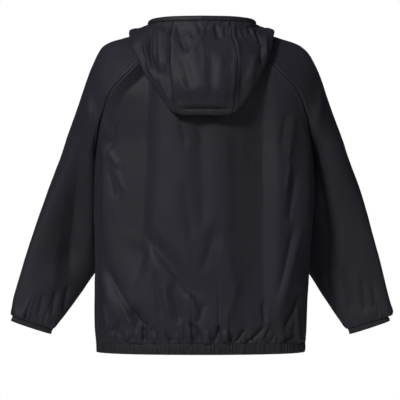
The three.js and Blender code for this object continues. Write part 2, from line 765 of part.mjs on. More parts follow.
// Two plates with the teeth between them, a bridge that parts the teeth, and an arch that holds the pull.
function sliderGeometry(frame) {
  const { halfWidth, length, plate: wall, play, bridgeHalfWidth, bridgeLength, cornerRadius } = slider;
  const half = length / 2;
  const outerFace = wall - zip.teethInset + play;
  const innerFace = -zip.teethInset - zip.teethWall - play - wall;
  const body = roundedShape(halfWidth, -half, half, cornerRadius);
  const bridge = roundedShape(bridgeHalfWidth, half - bridgeLength, half, 0.5);
  const arch = new THREE.Shape();
  arch.moveTo(-bail.halfLength, -0.2);
  arch.bezierCurveTo(-bail.halfLength, bail.height * 1.4, bail.halfLength, bail.height * 1.4, bail.halfLength, -0.2);
  const inside = bail.halfLength - bail.bar;
  const hole = new THREE.Path();
  hole.moveTo(-inside, 0);
  hole.lineTo(inside, 0);
  const crown = (bail.height - bail.bar) * 1.33;
  hole.bezierCurveTo(inside, crown, -inside, crown, -inside, 0);
  arch.holes.push(hole);
  return joined([
    plate(body, wall, frame, flat, [0, 0, outerFace - wall]),
    plate(body, wall, frame, flat, [0, 0, innerFace]),
    plate(bridge, outerFace - innerFace - wall, frame, flat, [0, 0, innerFace + wall / 2]),
    plate(arch, 2 * bail.halfWidth, frame, edgewise, [-bail.halfWidth, 0, outerFace]),
  ]);
}

// A flat tab whose top bar lies in the slider's arch and turns there.
function pullGeometry(frame) {
  const { halfWidth, length, thickness, barRadius, windowLength, windowHalfWidth } = pull;
  const tab = roundedShape(halfWidth, -length, barRadius, 0.6);
  const window = roundedShape(windowHalfWidth, -barRadius - windowLength, -barRadius, 0.3);
  tab.holes.push(new THREE.Path(window.getPoints(6)));
  return plate(tab, thickness, frame, flat, [0, 0, pullAxisHeight - thickness / 2]);
}

const pullAxisHeight = slider.plate - zip.teethInset + slider.play + (bail.height - bail.bar) / 2;

// A block that holds the zip's lower ends together.
function boxGeometry(frame) {
  const shape = roundedShape(zip.teethHalfWidth, 0, zip.boxHeight, 0.8);
  return plate(shape, zip.boxWall, frame, flat, [0, 0, -zip.teethInset - (zip.teethWall + zip.boxWall) / 2]);
}

// ---- the jacket ----

const clothPieces = [...torsoPieces(), ...sleevePieces(), ...hoodPieces()];
for (const cloth of clothPieces) {
  for (const row of cloth.points) {
    row.forEach((p, j) => {
      row[j] = p.clone().setX(p.x + leanAt(p.z));
    });
  }
}
shareSeamNormals(clothPieces);

const zipFace = zipCentre(clothPieces, zip.teethHalfWidth, 0);
const zipBottom = zipFace[0][0].z;
const zipTop = zipFace[zipFace.length - 1][0].z - zip.belowRim;
const sliderFrame = zipFrame(zipFace, zipTop - slider.length / 2);
const teethEnd = zipTop - slider.bridgeLength - seamGap;
const teethRows = zipCentre(clothPieces, zip.teethHalfWidth, zip.teethInset);
const zipPieces = [
  ...zipTapes(clothPieces),
  piece("zip_teeth", clippedRows(teethRows, zipBottom + zip.boxHeight + seamGap, teethEnd), zip.teethWall, "teeth"),
];
for (const strip of zipPieces) strip.normals = normalsOf(strip.points);

const stiffPieces = [
  { name: "zip_slider", geometry: sliderGeometry(sliderFrame), finish: "slider" },
  { name: "zip_pull", geometry: pullGeometry(sliderFrame), finish: "slider" },
  { name: "zip_box", geometry: boxGeometry(zipFrame(zipFace, zipBottom + 0.1)), finish: "teeth" },
];
const clothMeshes = [...clothPieces, ...zipPieces].map((cloth) => ({ ...cloth, geometry: wallGeometry(cloth) }));

const jacket = new THREE.Group();
for (const { name, geometry, finish } of [...clothMeshes, ...stiffPieces]) {
  const mesh = new THREE.Mesh(geometry, finishes[finish]);
  mesh.name = name;
  jacket.add(mesh);
}

export default jacket;
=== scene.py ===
import math

import bmesh
import bpy
import numpy as np
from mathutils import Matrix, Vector, noise
from mathutils.kdtree import KDTree


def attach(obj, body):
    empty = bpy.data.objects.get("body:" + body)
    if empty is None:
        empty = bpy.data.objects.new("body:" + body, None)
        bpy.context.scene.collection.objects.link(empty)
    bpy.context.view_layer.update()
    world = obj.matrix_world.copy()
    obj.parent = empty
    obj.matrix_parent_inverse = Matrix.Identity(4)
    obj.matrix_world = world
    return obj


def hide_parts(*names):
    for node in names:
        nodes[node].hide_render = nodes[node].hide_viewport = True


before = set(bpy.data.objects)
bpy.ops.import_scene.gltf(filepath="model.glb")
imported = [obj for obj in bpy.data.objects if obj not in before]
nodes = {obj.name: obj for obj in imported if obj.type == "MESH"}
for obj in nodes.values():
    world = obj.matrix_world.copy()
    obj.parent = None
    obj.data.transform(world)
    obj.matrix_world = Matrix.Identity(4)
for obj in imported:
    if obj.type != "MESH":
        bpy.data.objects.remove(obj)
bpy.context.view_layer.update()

mm = 0.001  # the tables are in millimetres, the meshes in metres
print("frame loaded:", len(nodes), "nodes")


def rowAt(rows, stations):  # a table's numbers between its rows, on a smooth curve through them
    rows = np.asarray(rows, float)
    t = np.asarray(stations, float)
    last = len(rows) - 1
    i = np.clip(np.floor(t).astype(int), 0, last - 1)
    f = (t - i)[..., None]
    before, start, end, after = (rows[np.clip(i + k, 0, last)] for k in (-1, 0, 1, 2))
    b = (end - before) * f
    c = (2 * before - 5 * start + 4 * end - after) * f ** 2
    d = (3 * start - before - 3 * end + after) * f ** 3
    return (2 * start + b + c + d) / 2


def valuesAt(at, run, values):  # a line's points, or its normals, at distances along it
    return np.stack([np.interp(at, run, values[:, a]) for a in range(3)], -1)


def spread(lines, shares):  # points at shares of each line's length
    steps = np.linalg.norm(np.diff(lines, axis=1), axis=2)
    run = np.concatenate([np.zeros((len(lines), 1)), np.cumsum(steps, 1)], 1)
    run /= run[:, -1:]
    shares = np.broadcast_to(shares, (len(lines), np.shape(shares)[-1]))
    return np.array([valuesAt(s, r, line) for s, r, line in zip(shares, run, lines)])


def unit(v):
    return v / np.maximum(np.linalg.norm(v, axis=-1, keepdims=True), 1e-9)


def smooth(x, low=0.0, high=1.0):
    t = np.clip((np.asarray(x, float) - low) / (high - low), 0, 1)
    return t * t * (3 - 2 * t)


def mirrored(points):
    return points[:, ::-1] * np.array([-1, 1, 1])


def normalsOf(points):
    across = np.gradient(points, axis=1)
    along = np.gradient(points, axis=0)
    return unit(np.cross(across, along))


def stationsFor(lengths, first, last, step, fine=0):  # even by length between table rows, closer at the start
    run = np.concatenate([[0], np.cumsum(lengths)])
    count = max(2, round((run[-1] + fine) / step))
    at = np.linspace(0, run[-1] + fine, count + 1)
    at = at - fine * (1 - np.exp(-at / 70)) / (1 - math.exp(-at[-1] / 70)) if fine else at
    return np.interp(at, run, np.linspace(first, last, len(run)))


neck = {"halfWidth": 80, "back": 62, "front": 84, "napeZ": 31, "sideZ": 40, "throatZ": -38}

form = {  # one row for each section, from the hem up, and for each seam
    # z, halfWidth, widestY, leftSeamY, rightSeamY, back, front, roundBack, roundFront
    "torso": [
        [-668, 229, 0, 42, 8, 97, -103, 2.3, 2.2],
        [-646, 230, 0, 41, 8, 99, -105, 2.3, 2.2],
        [-612, 233, 0, 39, 7, 107, -111, 2.3, 2.2],
        [-540, 234, 0, 33, 5, 112, -115, 2.25, 2.1],
        [-440, 237, -2, 22, 2, 115, -118, 2.2, 2.0],
        [-330, 242, -6, 6, -5, 118, -121, 2.15, 1.9],
        [-231, 240, -14, -14, -14, 120, -124, 2.1, 1.8],
    ],
    "backSeam": [[231, 32, -186], [219, 60, -141], [200, 80, -97], [152, 86, -46], [101, 68, 4]],
    "frontSeam": [[222, -62, -184], [203, -86, -134], [175, -96, -82], [130, -92, -34], [92, -72, -8]],
    "backMid": [[121, -186], [122, -144], [119, -102], [109, -56], [87, -8]],
    "frontMid": [[-126, -192], [-127, -154], [-125, -118], [-116, -86], [-101, -60]],
    # top line x, y, z, swellBack, swellFront, tuck
    "cap": [
        [311, -24, -219, 52, 66, 1],
        [276, -20, -122, 48, 56, 0.75],
        [246, -16, -40, 46, 48, 0.4],
        [219, -13, 3, 44, 44, 0.15],
        [170, -10, 22, 36, 36, 0.05],
        [122, -6, 31, 26, 26, 0],
    ],
    # outer x, y, z, inner x, y, z, depthBack, depthFront
    "arm": [
        [335, -28, -286, 238, -52, -300, 38, 50],
        [359, -34, -354, 226, -82, -376, 32, 42],
        [384, -40, -432, 222, -92, -460, 26, 36],
        [406, -44, -508, 258, -80, -526, 24, 29],
        [422, -46, -574, 302, -66, -590, 22, 24],
        [418, -46, -594, 329, -58, -623, 14, 15],
        [421, -46, -604, 333, -58, -634, 13, 14],
    ],
    # neckTurn, fold x, y, z, rim x, y, z, swell, lift, rise
    "hood": [
        [0, 0, 143, -155, 0, 110, 51, 30, 18, 7],
        [42, 60, 140, -151, 62, 98, 51, 29, 18, 8],
        [60, 100, 130, -106, 97, 74, 50, 25, 16, 9],
        [74, 134, 104, -40, 113, 42, 49, 20, 15, 10],
        [88, 156, 52, 19, 117, 6, 48, 16, 12, 12],
        [104, 153, -8, 41, 108, -32, 48, 13, 8, 16],
        [126, 118, -66, 32, 84, -68, 48, 9, 6, 22],
        [152, 64, -106, 12, 46, -94, 46, 5, 3, 16],
        [176.4, 5, -108, -6, 5, -102, 42, 2, 0, 12],
    ],
    "lean": [[-668, 0], [-600, 0], [-490, -3], [-425, -5], [-297, -8.5], [-120, -8], [-60, -8], [-10, -6],
             [12, -2], [60, -4]],
    "raglanBackTurn": 50,
    "raglanFrontTurn": 125,
    "sleeveTopTurn": 88,
    "hoodSeam": 1,
    "frontEdge": 5,
    "hoodClearance": 5.5,
    "rimHeight": 9,
}
torso = np.array(form["torso"], float)
underarmStation = len(torso) - 1
neckStation = underarmStation + len(form["backSeam"]) + 1


def neckPoint(turnDegrees):
    turn = np.radians(turnDegrees)
    mean = (neck["napeZ"] + neck["throatZ"]) / 2
    level = (mean + neck["sideZ"]) / 2
    dip = (neck["napeZ"] - neck["throatZ"]) / 2
    cos = np.cos(turn)
    y = np.where(cos > 0, neck["back"], neck["front"]) * cos
    z = level + dip * cos + (mean - level) * np.cos(2 * turn)
    return np.stack([neck["halfWidth"] * np.sin(turn), y, z], -1)


def neckRun(fromTurn, toTurn, shares):  # a stretch of the neck seam
    return spread(neckPoint(np.linspace(fromTurn, toTurn, 60))[None], shares)[0]


nape, throat = neckPoint(0.0), neckPoint(180.0)
outlineRows = np.vstack([
    np.column_stack([torso[:, [2, 5, 6, 7, 8]], torso[:, 0], torso[:, 0]]),
    np.column_stack([
        np.tile(torso[-1, 2], 5), np.array(form["backMid"])[:, 0], np.array(form["frontMid"])[:, 0],
        np.tile(torso[-1, 7], 5), np.tile(torso[-1, 8], 5),
        np.array(form["backMid"])[:, 1], np.array(form["frontMid"])[:, 1],
    ]),
    [[0, nape[1], throat[1], 2, 2, nape[2], throat[2]]],
])


def outlineAt(stations):
    names = ["widestY", "back", "front", "roundBack", "roundFront", "backZ", "frontZ"]
    return {name: column[:, None] for name, column in zip(names, rowAt(outlineRows, stations).T)}


def quarter(outline, behind):
    depth = np.where(behind, outline["back"], outline["front"]) - outline["widestY"]
    return depth, 2 / np.where(behind, outline["roundBack"], outline["roundFront"])


def turnAt(outline, y):
    behind = y > outline["widestY"]
    depth, power = quarter(outline, behind)
    turn = np.arcsin(np.clip((y - outline["widestY"]) / depth, 0, 1) ** (1 / power))
    return np.where(behind, turn, -turn)


def outlinePoint(outline, turn):
    depth, power = quarter(outline, turn > 0)
    x = np.clip(np.cos(turn), 0, 1) ** power
    return x, outline["widestY"] + depth * np.abs(np.sin(turn)) ** power


def sideSeam(column):
    outline = outlineAt(np.arange(len(torso)))
    y = torso[:, column:column + 1]
    x = torso[:, 1:2] * outlinePoint(outline, turnAt(outline, y))[0]
    return np.hstack([x, y, torso[:, :1]])


sideSeams = {"left": sideSeam(3), "right": sideSeam(4)}
underarm = sideSeams["left"][-1]
raglanSeams = {
    "back": np.vstack([underarm, form["backSeam"], neckPoint(form["raglanBackTurn"])]),
    "front": np.vstack([underarm, form["frontSeam"], neckPoint(form["raglanFrontTurn"])]),
}


def seamPoint(panel, side, stations):
    below = rowAt(sideSeams[side], np.minimum(stations, underarmStation))
    above = rowAt(raglanSeams[panel], np.maximum(stations - underarmStation, 0))
    return np.where((stations <= underarmStation)[:, None], below, above)


def halfSections(panel, side, stations, start):
    behind = panel == "back"
    outline = outlineAt(stations)
    seamX, seamY, seamZ = (c[:, None] for c in seamPoint(panel, side, stations).T)
    seamTurn = turnAt(outline, seamY)
    reach = seamX / outlinePoint(outline, seamTurn)[0]
    power = quarter(outline, behind)[1]
    startTurn = np.arccos((start / reach) ** (1 / power)) * (1 if behind else -1)
    x, y = outlinePoint(outline, startTurn + (seamTurn - startTurn) * np.linspace(0, 1, 61))
    midY, midZ = outline[panel], outline["backZ" if behind else "frontZ"]
    share = (y - seamY) / (midY - seamY)
    line = np.stack([reach * x, y, seamZ + (midZ - seamZ) * share], -1)
    line[:, -1:] = np.stack([seamX, seamY, seamZ], -1)
    return line


def panelHalf(panel, side, stations, start, shares):
    rows = spread(halfSections(panel, side, stations, start), shares)
    top = spread(halfSections(panel, side, np.array([float(neckStation)]), start), shares)[0]
    if panel == "back":
        run = neckRun(0, form["raglanBackTurn"], shares)
    else:
        run = neckRun(form["hood"][-1][0], form["raglanFrontTurn"], shares)
    toNeck = smooth(stations, neckStation - 1, neckStation)[:, None, None]
    return rows + (run - top) * toNeck


def backPanel(stations, shares):
    left, right = (panelHalf("back", side, stations, 0, shares) for side in ("left", "right"))
    return np.concatenate([left[:, :0:-1], right * np.array([-1, 1, 1])], 1)


def bezier(start, startHandle, endHandle, end):
    t = np.linspace(0, 1, 41)[None, :, None]
    a, b, c, d = (p[:, None] for p in (start, start + startHandle, end + endHandle, end))
    return a * (1 - t) ** 3 + 3 * b * t * (1 - t) ** 2 + 3 * c * t ** 2 * (1 - t) + d * t ** 3


sleeveDown = unit(np.array([0.33, -0.05, -0.94]))


def rearwardOf(front, top, back):
    return unit(np.cross(top - (front + back) / 2, sleeveDown))


def joinHalves(toTop, toBack, shares):
    return np.concatenate([spread(toTop, shares), spread(toBack, shares)[:, 1:]], 1)


def capRows(stations, shares):
    table = np.vstack([form["cap"], [*neckPoint(form["sleeveTopTurn"]), 16, 16, 0]])
    row = rowAt(table, stations - underarmStation)
    top, swellBack, swellFront, tuck = row[:, :3], row[:, 3:4], row[:, 4:5], row[:, 5:6]
    front, back = (rowAt(raglanSeams[p], stations - underarmStation) for p in ("front", "back"))
    rearward = rearwardOf(front, top, back)

    def handle(panel, sign, swell):
        line = halfSections(panel, "left", stations, 0)
        heading = unit(line[:, -1] - line[:, -4])
        return unit(heading * (1 - tuck) + rearward * sign * tuck) * swell * (0.6 + 0.4 * tuck)

    toTop = bezier(front, handle("front", -1, swellFront), -rearward * swellFront, top)
    toBack = bezier(top, rearward * swellBack, handle("back", 1, swellBack), back)
    rows = joinHalves(toTop, toBack, shares)
    if stations[-1] == neckStation:
        run = np.concatenate([
            neckRun(form["raglanFrontTurn"], form["sleeveTopTurn"], shares),
            neckRun(form["sleeveTopTurn"], form["raglanBackTurn"], shares)[1:],
        ])
        rows = rows + (run - rows[-1]) * smooth(stations, neckStation - 1, neckStation)[:, None, None]
    return rows


def armRows(stations, shares):
    cap = form["cap"][0]
    table = [[*cap[:3], *underarm, cap[3] * 0.75, cap[4] * 0.75], *form["arm"]]
    row = rowAt(table, stations)
    top, inner = row[:, :3], row[:, 3:6]
    swellBack, swellFront = row[:, 6:7] / 0.75, row[:, 7:8] / 0.75
    rearward = rearwardOf(inner, top, inner)
    toTop = bezier(inner, -rearward * swellFront, -rearward * swellFront, top)
    toBack = bezier(top, rearward * swellBack, rearward * swellBack, inner)
    return joinHalves(toTop, toBack, shares)


def lean(points):
    z, x = np.array(form["lean"], float).T
    station = np.interp(points[..., 2], z, np.arange(len(z)))
    shift = rowAt(x[:, None], station)[..., 0]
    return points + np.stack([shift, 0 * shift, 0 * shift], -1)


# centripetal curve through a few points for each column; gives dense points and where each given point lies
def catmull(points, steps=30):
    ends = [2 * points[0] - points[1], *points, 2 * points[-1] - points[-2]]
    t = np.linspace(0, 1, steps, endpoint=False)[None, :, None]
    parts = []
    for a, b, c, d in zip(ends, ends[1:], ends[2:], ends[3:]):
        gap = [np.maximum(np.sqrt(np.linalg.norm(q - p, axis=-1, keepdims=True)), 1e-3)
               for p, q in ((a, b), (b, c), (c, d))]
        t1 = ((b - a) / gap[0] - (c - a) / (gap[0] + gap[1]) + (c - b) / gap[1]) * gap[1]
        t2 = ((c - b) / gap[1] - (d - b) / (gap[1] + gap[2]) + (d - c) / gap[2]) * gap[1]
        b, c, t1, t2 = (v[:, None] for v in (b, c, t1, t2))
        parts.append(b + t1 * t + (3 * c - 3 * b - 2 * t1 - t2) * t ** 2 + (2 * b - 2 * c + t1 + t2) * t ** 3)
    return np.concatenate([*parts, points[-1][:, None]], 1)


# lifts the hood's inner layer off the shoulders
def makeShoulders():
    stations = np.linspace(underarmStation + 1, neckStation, 60)
    shares = np.linspace(0, 1, 40)
    sheets = [backPanel(stations, shares), panelHalf("front", "left", stations, form["frontEdge"], shares),
              capRows(stations, shares)]
    points = np.concatenate([s.reshape(-1, 3) for s in sheets])
    normals = np.concatenate([normalsOf(s).reshape(-1, 3) for s in sheets])
    tree = KDTree(len(points))
    for i, p in enumerate(points):
        tree.insert(p, i)
    tree.balance()
    return tree, points, normals


shoulderTree, shoulderPoints, shoulderNormals = makeShoulders()


def clearOfShoulders(points, clearance):
    flat = points.reshape(-1, 3)
    found = np.array([shoulderTree.find(p)[1] for p in flat])
    height = np.einsum("ij,ij->i", flat - shoulderPoints[found], shoulderNormals[found])
    missing = np.maximum(0, clearance.reshape(-1) - height)
    return (flat + shoulderNormals[found] * missing[:, None]).reshape(points.shape)


def hoodColumns(stations, underShares, overShares):
    row = rowAt(form["hood"], stations)
    fold, rim = row[:, 1:4], row[:, 4:7]
    swell, rise, up = row[:, 7:8], row[:, 9:10], np.array([0, 0, 1])
    start = neckPoint(row[:, 0])
    outward = unit(fold * np.array([1, 1, 0]))
    crest = start + outward * 10 + up * rise
    inner = (start + fold) / 2 + outward * row[:, 8:9]
    outer = fold + (rim - fold) * 0.45 + outward * swell
    line = catmull([start, crest, inner, fold, outer, rim])
    foldIndex = 90
    points = np.concatenate([
        spread(line[:, :foldIndex + 1], underShares), spread(line[:, foldIndex:], overShares)[:, 1:],
    ], 1)
    under = len(underShares)
    run = np.linspace(0, 1, under) * np.linalg.norm(fold - start, axis=1, keepdims=True)
    clearance = np.concatenate([np.minimum(form["hoodClearance"], run * 0.25),
                                np.full((len(points), points.shape[1] - under), form["hoodClearance"])], 1)
    return clearOfShoulders(points, clearance).transpose(1, 0, 2)


print("form worked out")


# folds lie on the cloth that faces the back (face 1) or the front (face -1); bow bends them sideways
backFolds = [
    # x0, z0, x1, z1, bow, left, right, depth, sharp
    [101, 156, 136, -561, 6.4, 89.7, 27.8, -21, 1.6], [3, -130, -7, -412, 0, 17.1, 17.1, -5.5, 1.8],
    [-52, -147, -59, -433, 0, 29.9, 19.2, 6, 1.7], [-136, -36, -140, -645, 0, 76.9, 21.4, -18, 1.6],
    [-174, -113, -168, -613, 4.3, 25.6, 34.2, 6.5, 1.8], [-187, -147, -172, -232, 2.1, 6.4, 6.4, -4, 1.4],
    [-204, -147, -185, -262, 2.1, 6.8, 6.8, 3.6, 1.4], [-191, -245, -180, -329, 0, 5.1, 5.6, 3.4, 1.4],
    [-204, -267, -187, -391, -2.1, 9.6, 6.4, -5, 1.4], [-232, -130, -227, -476, 0, 25.6, 8.5, 9, 1.5],
    [215, -181, 215, -476, 0, 12.8, 17.1, 6, 1.6], [131, -399, -16, -574, 2.1, 10.7, 32, -10, 1.5],
    [104, -382, -35, -544, 2.1, 10.7, 19.2, 3.4, 1.8], [215, -467, 114, -615, 9.6, 8.5, 12.8, -7.5, 1.4],
    [223, -480, 163, -604, 8.5, 15, 10.7, 3, 1.7], [157, -568, 110, -613, 3.2, 4.3, 10.7, -9, 1.2],
    [123, -420, 163, -561, 0, 42.7, 17.1, -6, 1.7], [101, -476, 80, -591, 2.1, 8.5, 6.4, -4, 1.5],
    [61, -502, 42, -608, 0, 12.8, 10.7, -7.5, 1.5], [76, -506, 65, -596, 0, 8.5, 6.4, 3.2, 1.6],
    [31, -527, 3, -596, -3.2, 10.7, 8.5, 5, 1.5], [-10, -549, 10, -604, -2.1, 10.7, 6.4, -6, 1.4],
    [193, -628, 174, -593, -2.1, 4.3, 4.3, -7, 1.2], [185, -615, 159, -628, 3.2, 3.4, 3.4, -4, 1.2],
    [125, -604, 121, -645, 0, 3.8, 3.8, -7, 1.2], [148, -593, 114, -621, 2.1, 4.7, 4.3, -6, 1.2],
    [108, -606, 84, -630, 2.1, 3.8, 3.8, -4.5, 1.2], [76, -613, 61, -643, 2.1, 3.8, 3.8, -4.5, 1.2],
    [33, -596, -3, -640, -6.8, 4.3, 4.3, -8, 1.15], [-27, -645, -44, -600, 2.1, 4.3, 8.5, -9, 1.2],
    [-46, -647, -76, -623, 2.1, 3.8, 3.8, -6, 1.2], [-67, -649, -99, -608, 2.1, 4.3, 3.8, -8, 1.2],
    [-89, -649, -144, -602, 3.4, 4.3, 5.1, -10, 1.15], [-127, -647, -151, -608, 2.1, 3.8, 4.3, -6, 1.2],
    [-166, -645, -206, -621, 3.2, 3.8, 3.8, -6, 1.2], [-219, -523, -180, -615, -3.2, 5.1, 6.4, -10, 1.2],
    [-138, -553, -140, -604, 0, 6.4, 4.3, -5, 1.4], [-219, -369, -155, -621, -2.1, 10.7, 12.8, 5, 1.6],
    [-202, -382, -163, -553, -2.1, 8.5, 6.4, -5.5, 1.4], [217, -160, 200, -211, -2.1, 7.3, 6.4, 4.5, 1.5],
    [223, -203, 208, -250, 0, 6.4, 6.4, 3.4, 1.5], [189, -164, 202, -228, 2.1, 6.4, 6.4, -4.5, 1.4],
    [206, -224, 183, -265, 0, 6.4, 5.6, 4.5, 1.5], [195, -262, 170, -322, 0, 5.1, 5.1, 2, 1.5],
    [206, -262, 193, -335, 0, 5.6, 5.6, -3, 1.4], [40, -288, 16, -433, 0, 10.7, 12.8, -3.4, 1.6],
    [-35, -382, 1, -497, -2.1, 9.6, 15, -4.2, 1.6], [-42, -412, -80, -549, -4.3, 21.4, 15, 4.2, 1.7],
    [-78, -506, -48, -613, -4.3, 12.8, 10.7, 3.8, 1.6], [50, -130, 29, -228, 0, 7.3, 7.3, -3, 1.5],
    [31, -138, 5, -220, 0, 8.5, 8.5, 2.4, 1.6], [87, -365, 52, -476, 0, 8.5, 10.7, -3, 1.6],
    [108, -412, 44, -493, 2.1, 8.5, 10.7, -3, 1.6], [213, -549, 198, -621, 0, 6.4, 5.1, 5, 1.4],
    [176, -549, 142, -613, 2.1, 6.4, 6.4, 4, 1.5], [-12, -613, -22, -643, 0, 6.4, 6.4, 5, 1.4],
    [-59, -613, -50, -638, 0, 6.4, 6.4, 5, 1.4], [22, -615, 27, -643, 0, 5.6, 5.6, 4, 1.4],
    [-110, -625, -97, -645, 0, 5.6, 5.6, 4.5, 1.4], [97, -621, 101, -645, 0, 6.4, 6.4, 4.5, 1.4],
    [157, -619, 163, -643, 0, 6.4, 6.4, 4, 1.4], [138, -617, 136, -643, 0, 5.6, 5.6, 4, 1.4],
    [52, -621, 48, -645, 0, 5.6, 5.6, 4, 1.4], [-195, -613, -176, -638, 0, 5.6, 5.6, 4, 1.4],
    [-155, -613, -148, -640, 0, 5.6, 5.6, 4, 1.4],
]
frontFolds = [
    [150, -70, 128, -330, 8, 16, 16, -8, 1.6], [96, -120, 84, -420, 6, 18, 18, 7.4, 1.8],
    [196, -210, 160, -420, -8, 14, 14, 6.7, 1.7], [44, -110, 38, -360, 4, 12, 12, -5.1, 1.6],
    [206, -360, 108, -560, -16, 12, 12, -8.8, 1.4], [168, -330, 60, -500, -12, 14, 14, 5.8, 1.7],
    [120, -480, 40, -640, 10, 12, 12, -6.4, 1.5], [210, -500, 176, -650, -4, 9, 9, -6.4, 1.4],
    [60, -420, 24, -560, 5, 9, 9, 4.2, 1.6], [-140, -80, -122, -300, -6, 15, 15, -7.4, 1.6],
    [-92, -110, -96, -470, 4, 17, 17, 7.7, 1.8], [-190, -200, -170, -400, 6, 12, 12, 6.4, 1.7],
    [-40, -140, -34, -330, -4, 10, 10, -4.5, 1.6], [-208, -390, -90, -600, 12, 11, 11, -8.3, 1.4],
    [-176, -300, -150, -520, 5, 12, 12, 5.4, 1.7], [-66, -430, -30, -610, -5, 10, 10, -5.1, 1.5],
    [-212, -540, -150, -650, 4, 8, 8, -5.8, 1.3],
]
leftSleeveBackFolds = [
    [258, -145, 299, -542, -4.3, 45.3, 21.6, -17, 1.6], [234, -180, 247, -473, 0, 19.4, 8.6, 7, 1.6],
    [312, -404, 331, -551, 0, 17.3, 17.3, 4, 1.8], [223, -111, 243, -227, 0, 10.8, 12.9, -4, 1.5],
    [350, -542, 359, -594, 0, 5.2, 5.2, -4.5, 1.3], [320, -529, 331, -596, 0, 5.6, 5.6, -5, 1.3],
    [294, -520, 307, -594, 0, 5.6, 5.6, -4.5, 1.3],
]
rightSleeveBackFolds = [
    [-262, -145, -327, -529, 0, 21.6, 34.5, 5.5, 1.8], [-251, -227, -297, -469, 0, 10.8, 15.1, -4, 1.6],
    [-310, -469, -338, -590, 0, 6.5, 8.6, -5, 1.3], [-279, -499, -301, -594, 0, 6.5, 6.5, -4.5, 1.3],
    [-357, -499, -366, -590, 0, 6.5, 6.5, -4.5, 1.3], [-383, -516, -387, -585, 0, 6.5, 6.5, -4, 1.3],
]
sleeveFrontFolds = [
    [236, -40, 250, -200, -6, 12, 12, -6.4, 1.6], [262, -210, 330, -500, 10, 16, 16, -8.8, 1.7],
    [248, -250, 262, -420, 6, 12, 12, 6.4, 1.7], [330, -330, 250, -400, -8, 9, 9, -7, 1.3],
    [340, -380, 244, -440, -6, 9, 9, -6.4, 1.3], [352, -420, 270, -480, -6, 9, 9, 5.8, 1.6],
    [372, -470, 400, -570, 3, 9, 9, 5.1, 1.6], [306, -500, 352, -590, 4, 8, 8, -5.4, 1.4],
]
hoodFolds = [
    [150, 21, 97, -93, 8.5, 6.4, 7.2, 7, 1.5], [130, 9, 111, -46, 4.2, 5.1, 5.1, -4, 1.4],
    [122, 17, 90, -89, 6.4, 4.7, 5.1, 5, 1.5], [105, 43, 101, -63, 5.3, 5.1, 5.1, -9, 1.3],
    [97, 47, 99, -42, 0, 3.8, 3.8, 5, 1.4], [86, 47, 80, -72, 2.1, 10.6, 21.2, 9.5, 1.8],
    [48, 43, 24, -25, 6.4, 5.1, 6.4, -6, 1.4], [39, -30, 18, -106, 0, 8.5, 10.6, -3, 1.6],
    [-16, 34, 24, -32, 2.1, 6.4, 6.4, 3, 1.5], [22, 32, 14, 7, 0, 3, 3, -4, 1.2],
    [1, 38, -1, 13, 0, 2.8, 2.8, -4, 1.2], [33, 36, 35, 15, 0, 2.8, 2.8, -3.4, 1.2],
    [-31, 43, -41, 4, 0, 3.4, 3.4, -7, 1.2], [-52, 38, -54, 13, 0, 2.8, 2.8, -3.4, 1.2],
    [-75, 38, -86, 9, 0, 3.2, 3.2, -4, 1.2], [-101, 41, -111, 17, 0, 3, 3, -4, 1.2],
    [-118, 38, -137, -8, 2.1, 4.2, 4.2, -7, 1.25], [-107, 38, -124, 0, 0, 3.8, 3.8, 4, 1.4],
    [60, 38, 65, 13, 0, 3.2, 3.2, -3.5, 1.2], [75, 41, 75, 21, 0, 2.8, 2.8, -3, 1.2],
    [-63, 38, -60, 15, 0, 2.8, 2.8, -3, 1.2], [-90, 36, -97, 9, 0, 3, 3, -3, 1.2],
    [-14, 38, -10, 19, 0, 2.8, 2.8, -3, 1.2], [-141, 30, -139, -38, 0, 5.5, 4.2, 5, 1.5],
    [-130, 0, -130, -51, 0, 4.2, 6.4, -4, 1.4], [-75, 13, -82, -51, 0, 4.7, 5.1, 4, 1.5],
    [-73, -30, -71, -114, 0, 5.5, 5.5, 2.4, 1.5], [-84, -38, -86, -102, 0, 6.4, 10.6, -3, 1.5],
    [46, -72, 24, -116, 0, 7.2, 6.4, 3, 1.5], [31, -8, -12, -119, 0, 21.2, 19.1, 2.6, 1.8],
    [73, -102, -88, -102, -2.1, 27.6, 27.6, 8, 1.8], [-43, -17, -39, -119, 0, 10.6, 10.6, 2, 1.7],
    [-24, -17, -22, -119, 0, 10.6, 10.6, -2, 1.7], [56, -142, -75, -142, 0, 2.8, 2.8, -6.5, 1.2],
    [52, -131, -71, -129, 0, 6.4, 5.5, 2.4, 1.6], [52, -119, 35, -121, 0, 1.9, 1.9, -2.6, 1.2],
    [52, -127, 35, -127, 0, 1.9, 1.9, -2.6, 1.2], [-50, -116, -69, -119, 0, 1.9, 1.9, -2.6, 1.2],
    [-50, -126, -69, -127, 0, 1.9, 1.9, -2.6, 1.2], [73, -38, 60, -119, 0, 5.5, 5.5, -3.4, 1.5],
    [92, -63, 60, -131, 2.1, 6.4, 6.4, 3.4, 1.6], [-101, -38, -84, -131, 0, 10.6, 12.7, -4, 1.7],
    [-118, -17, -105, -89, 0, 8.5, 8.5, 3.4, 1.6],
]


def relief(points, folds, face):  # how far soft ridges and troughs move each point out
    height = np.zeros(points.shape[:2])
    facing = smooth(normalsOf(points)[..., 1] * face, 0.1, 0.5)
    x, z = points[..., 0], points[..., 2]
    for x0, z0, x1, z1, bow, left, right, depth, sharp in folds:
        length = math.hypot(x1 - x0, z1 - z0)
        dx, dz = (x1 - x0) / length, (z1 - z0) / length
        share = ((x - x0) * dx + (z - z0) * dz) / length
        aside = (z - z0) * dx - (x - x0) * dz - 4 * share * (1 - share) * bow
        ends = smooth(share, 0, 0.25) * smooth(1 - share, 0, 0.25)
        height += depth * ends * np.exp(-(np.abs(aside) / np.where(aside > 0, left, right)) ** sharp)
    return height * facing


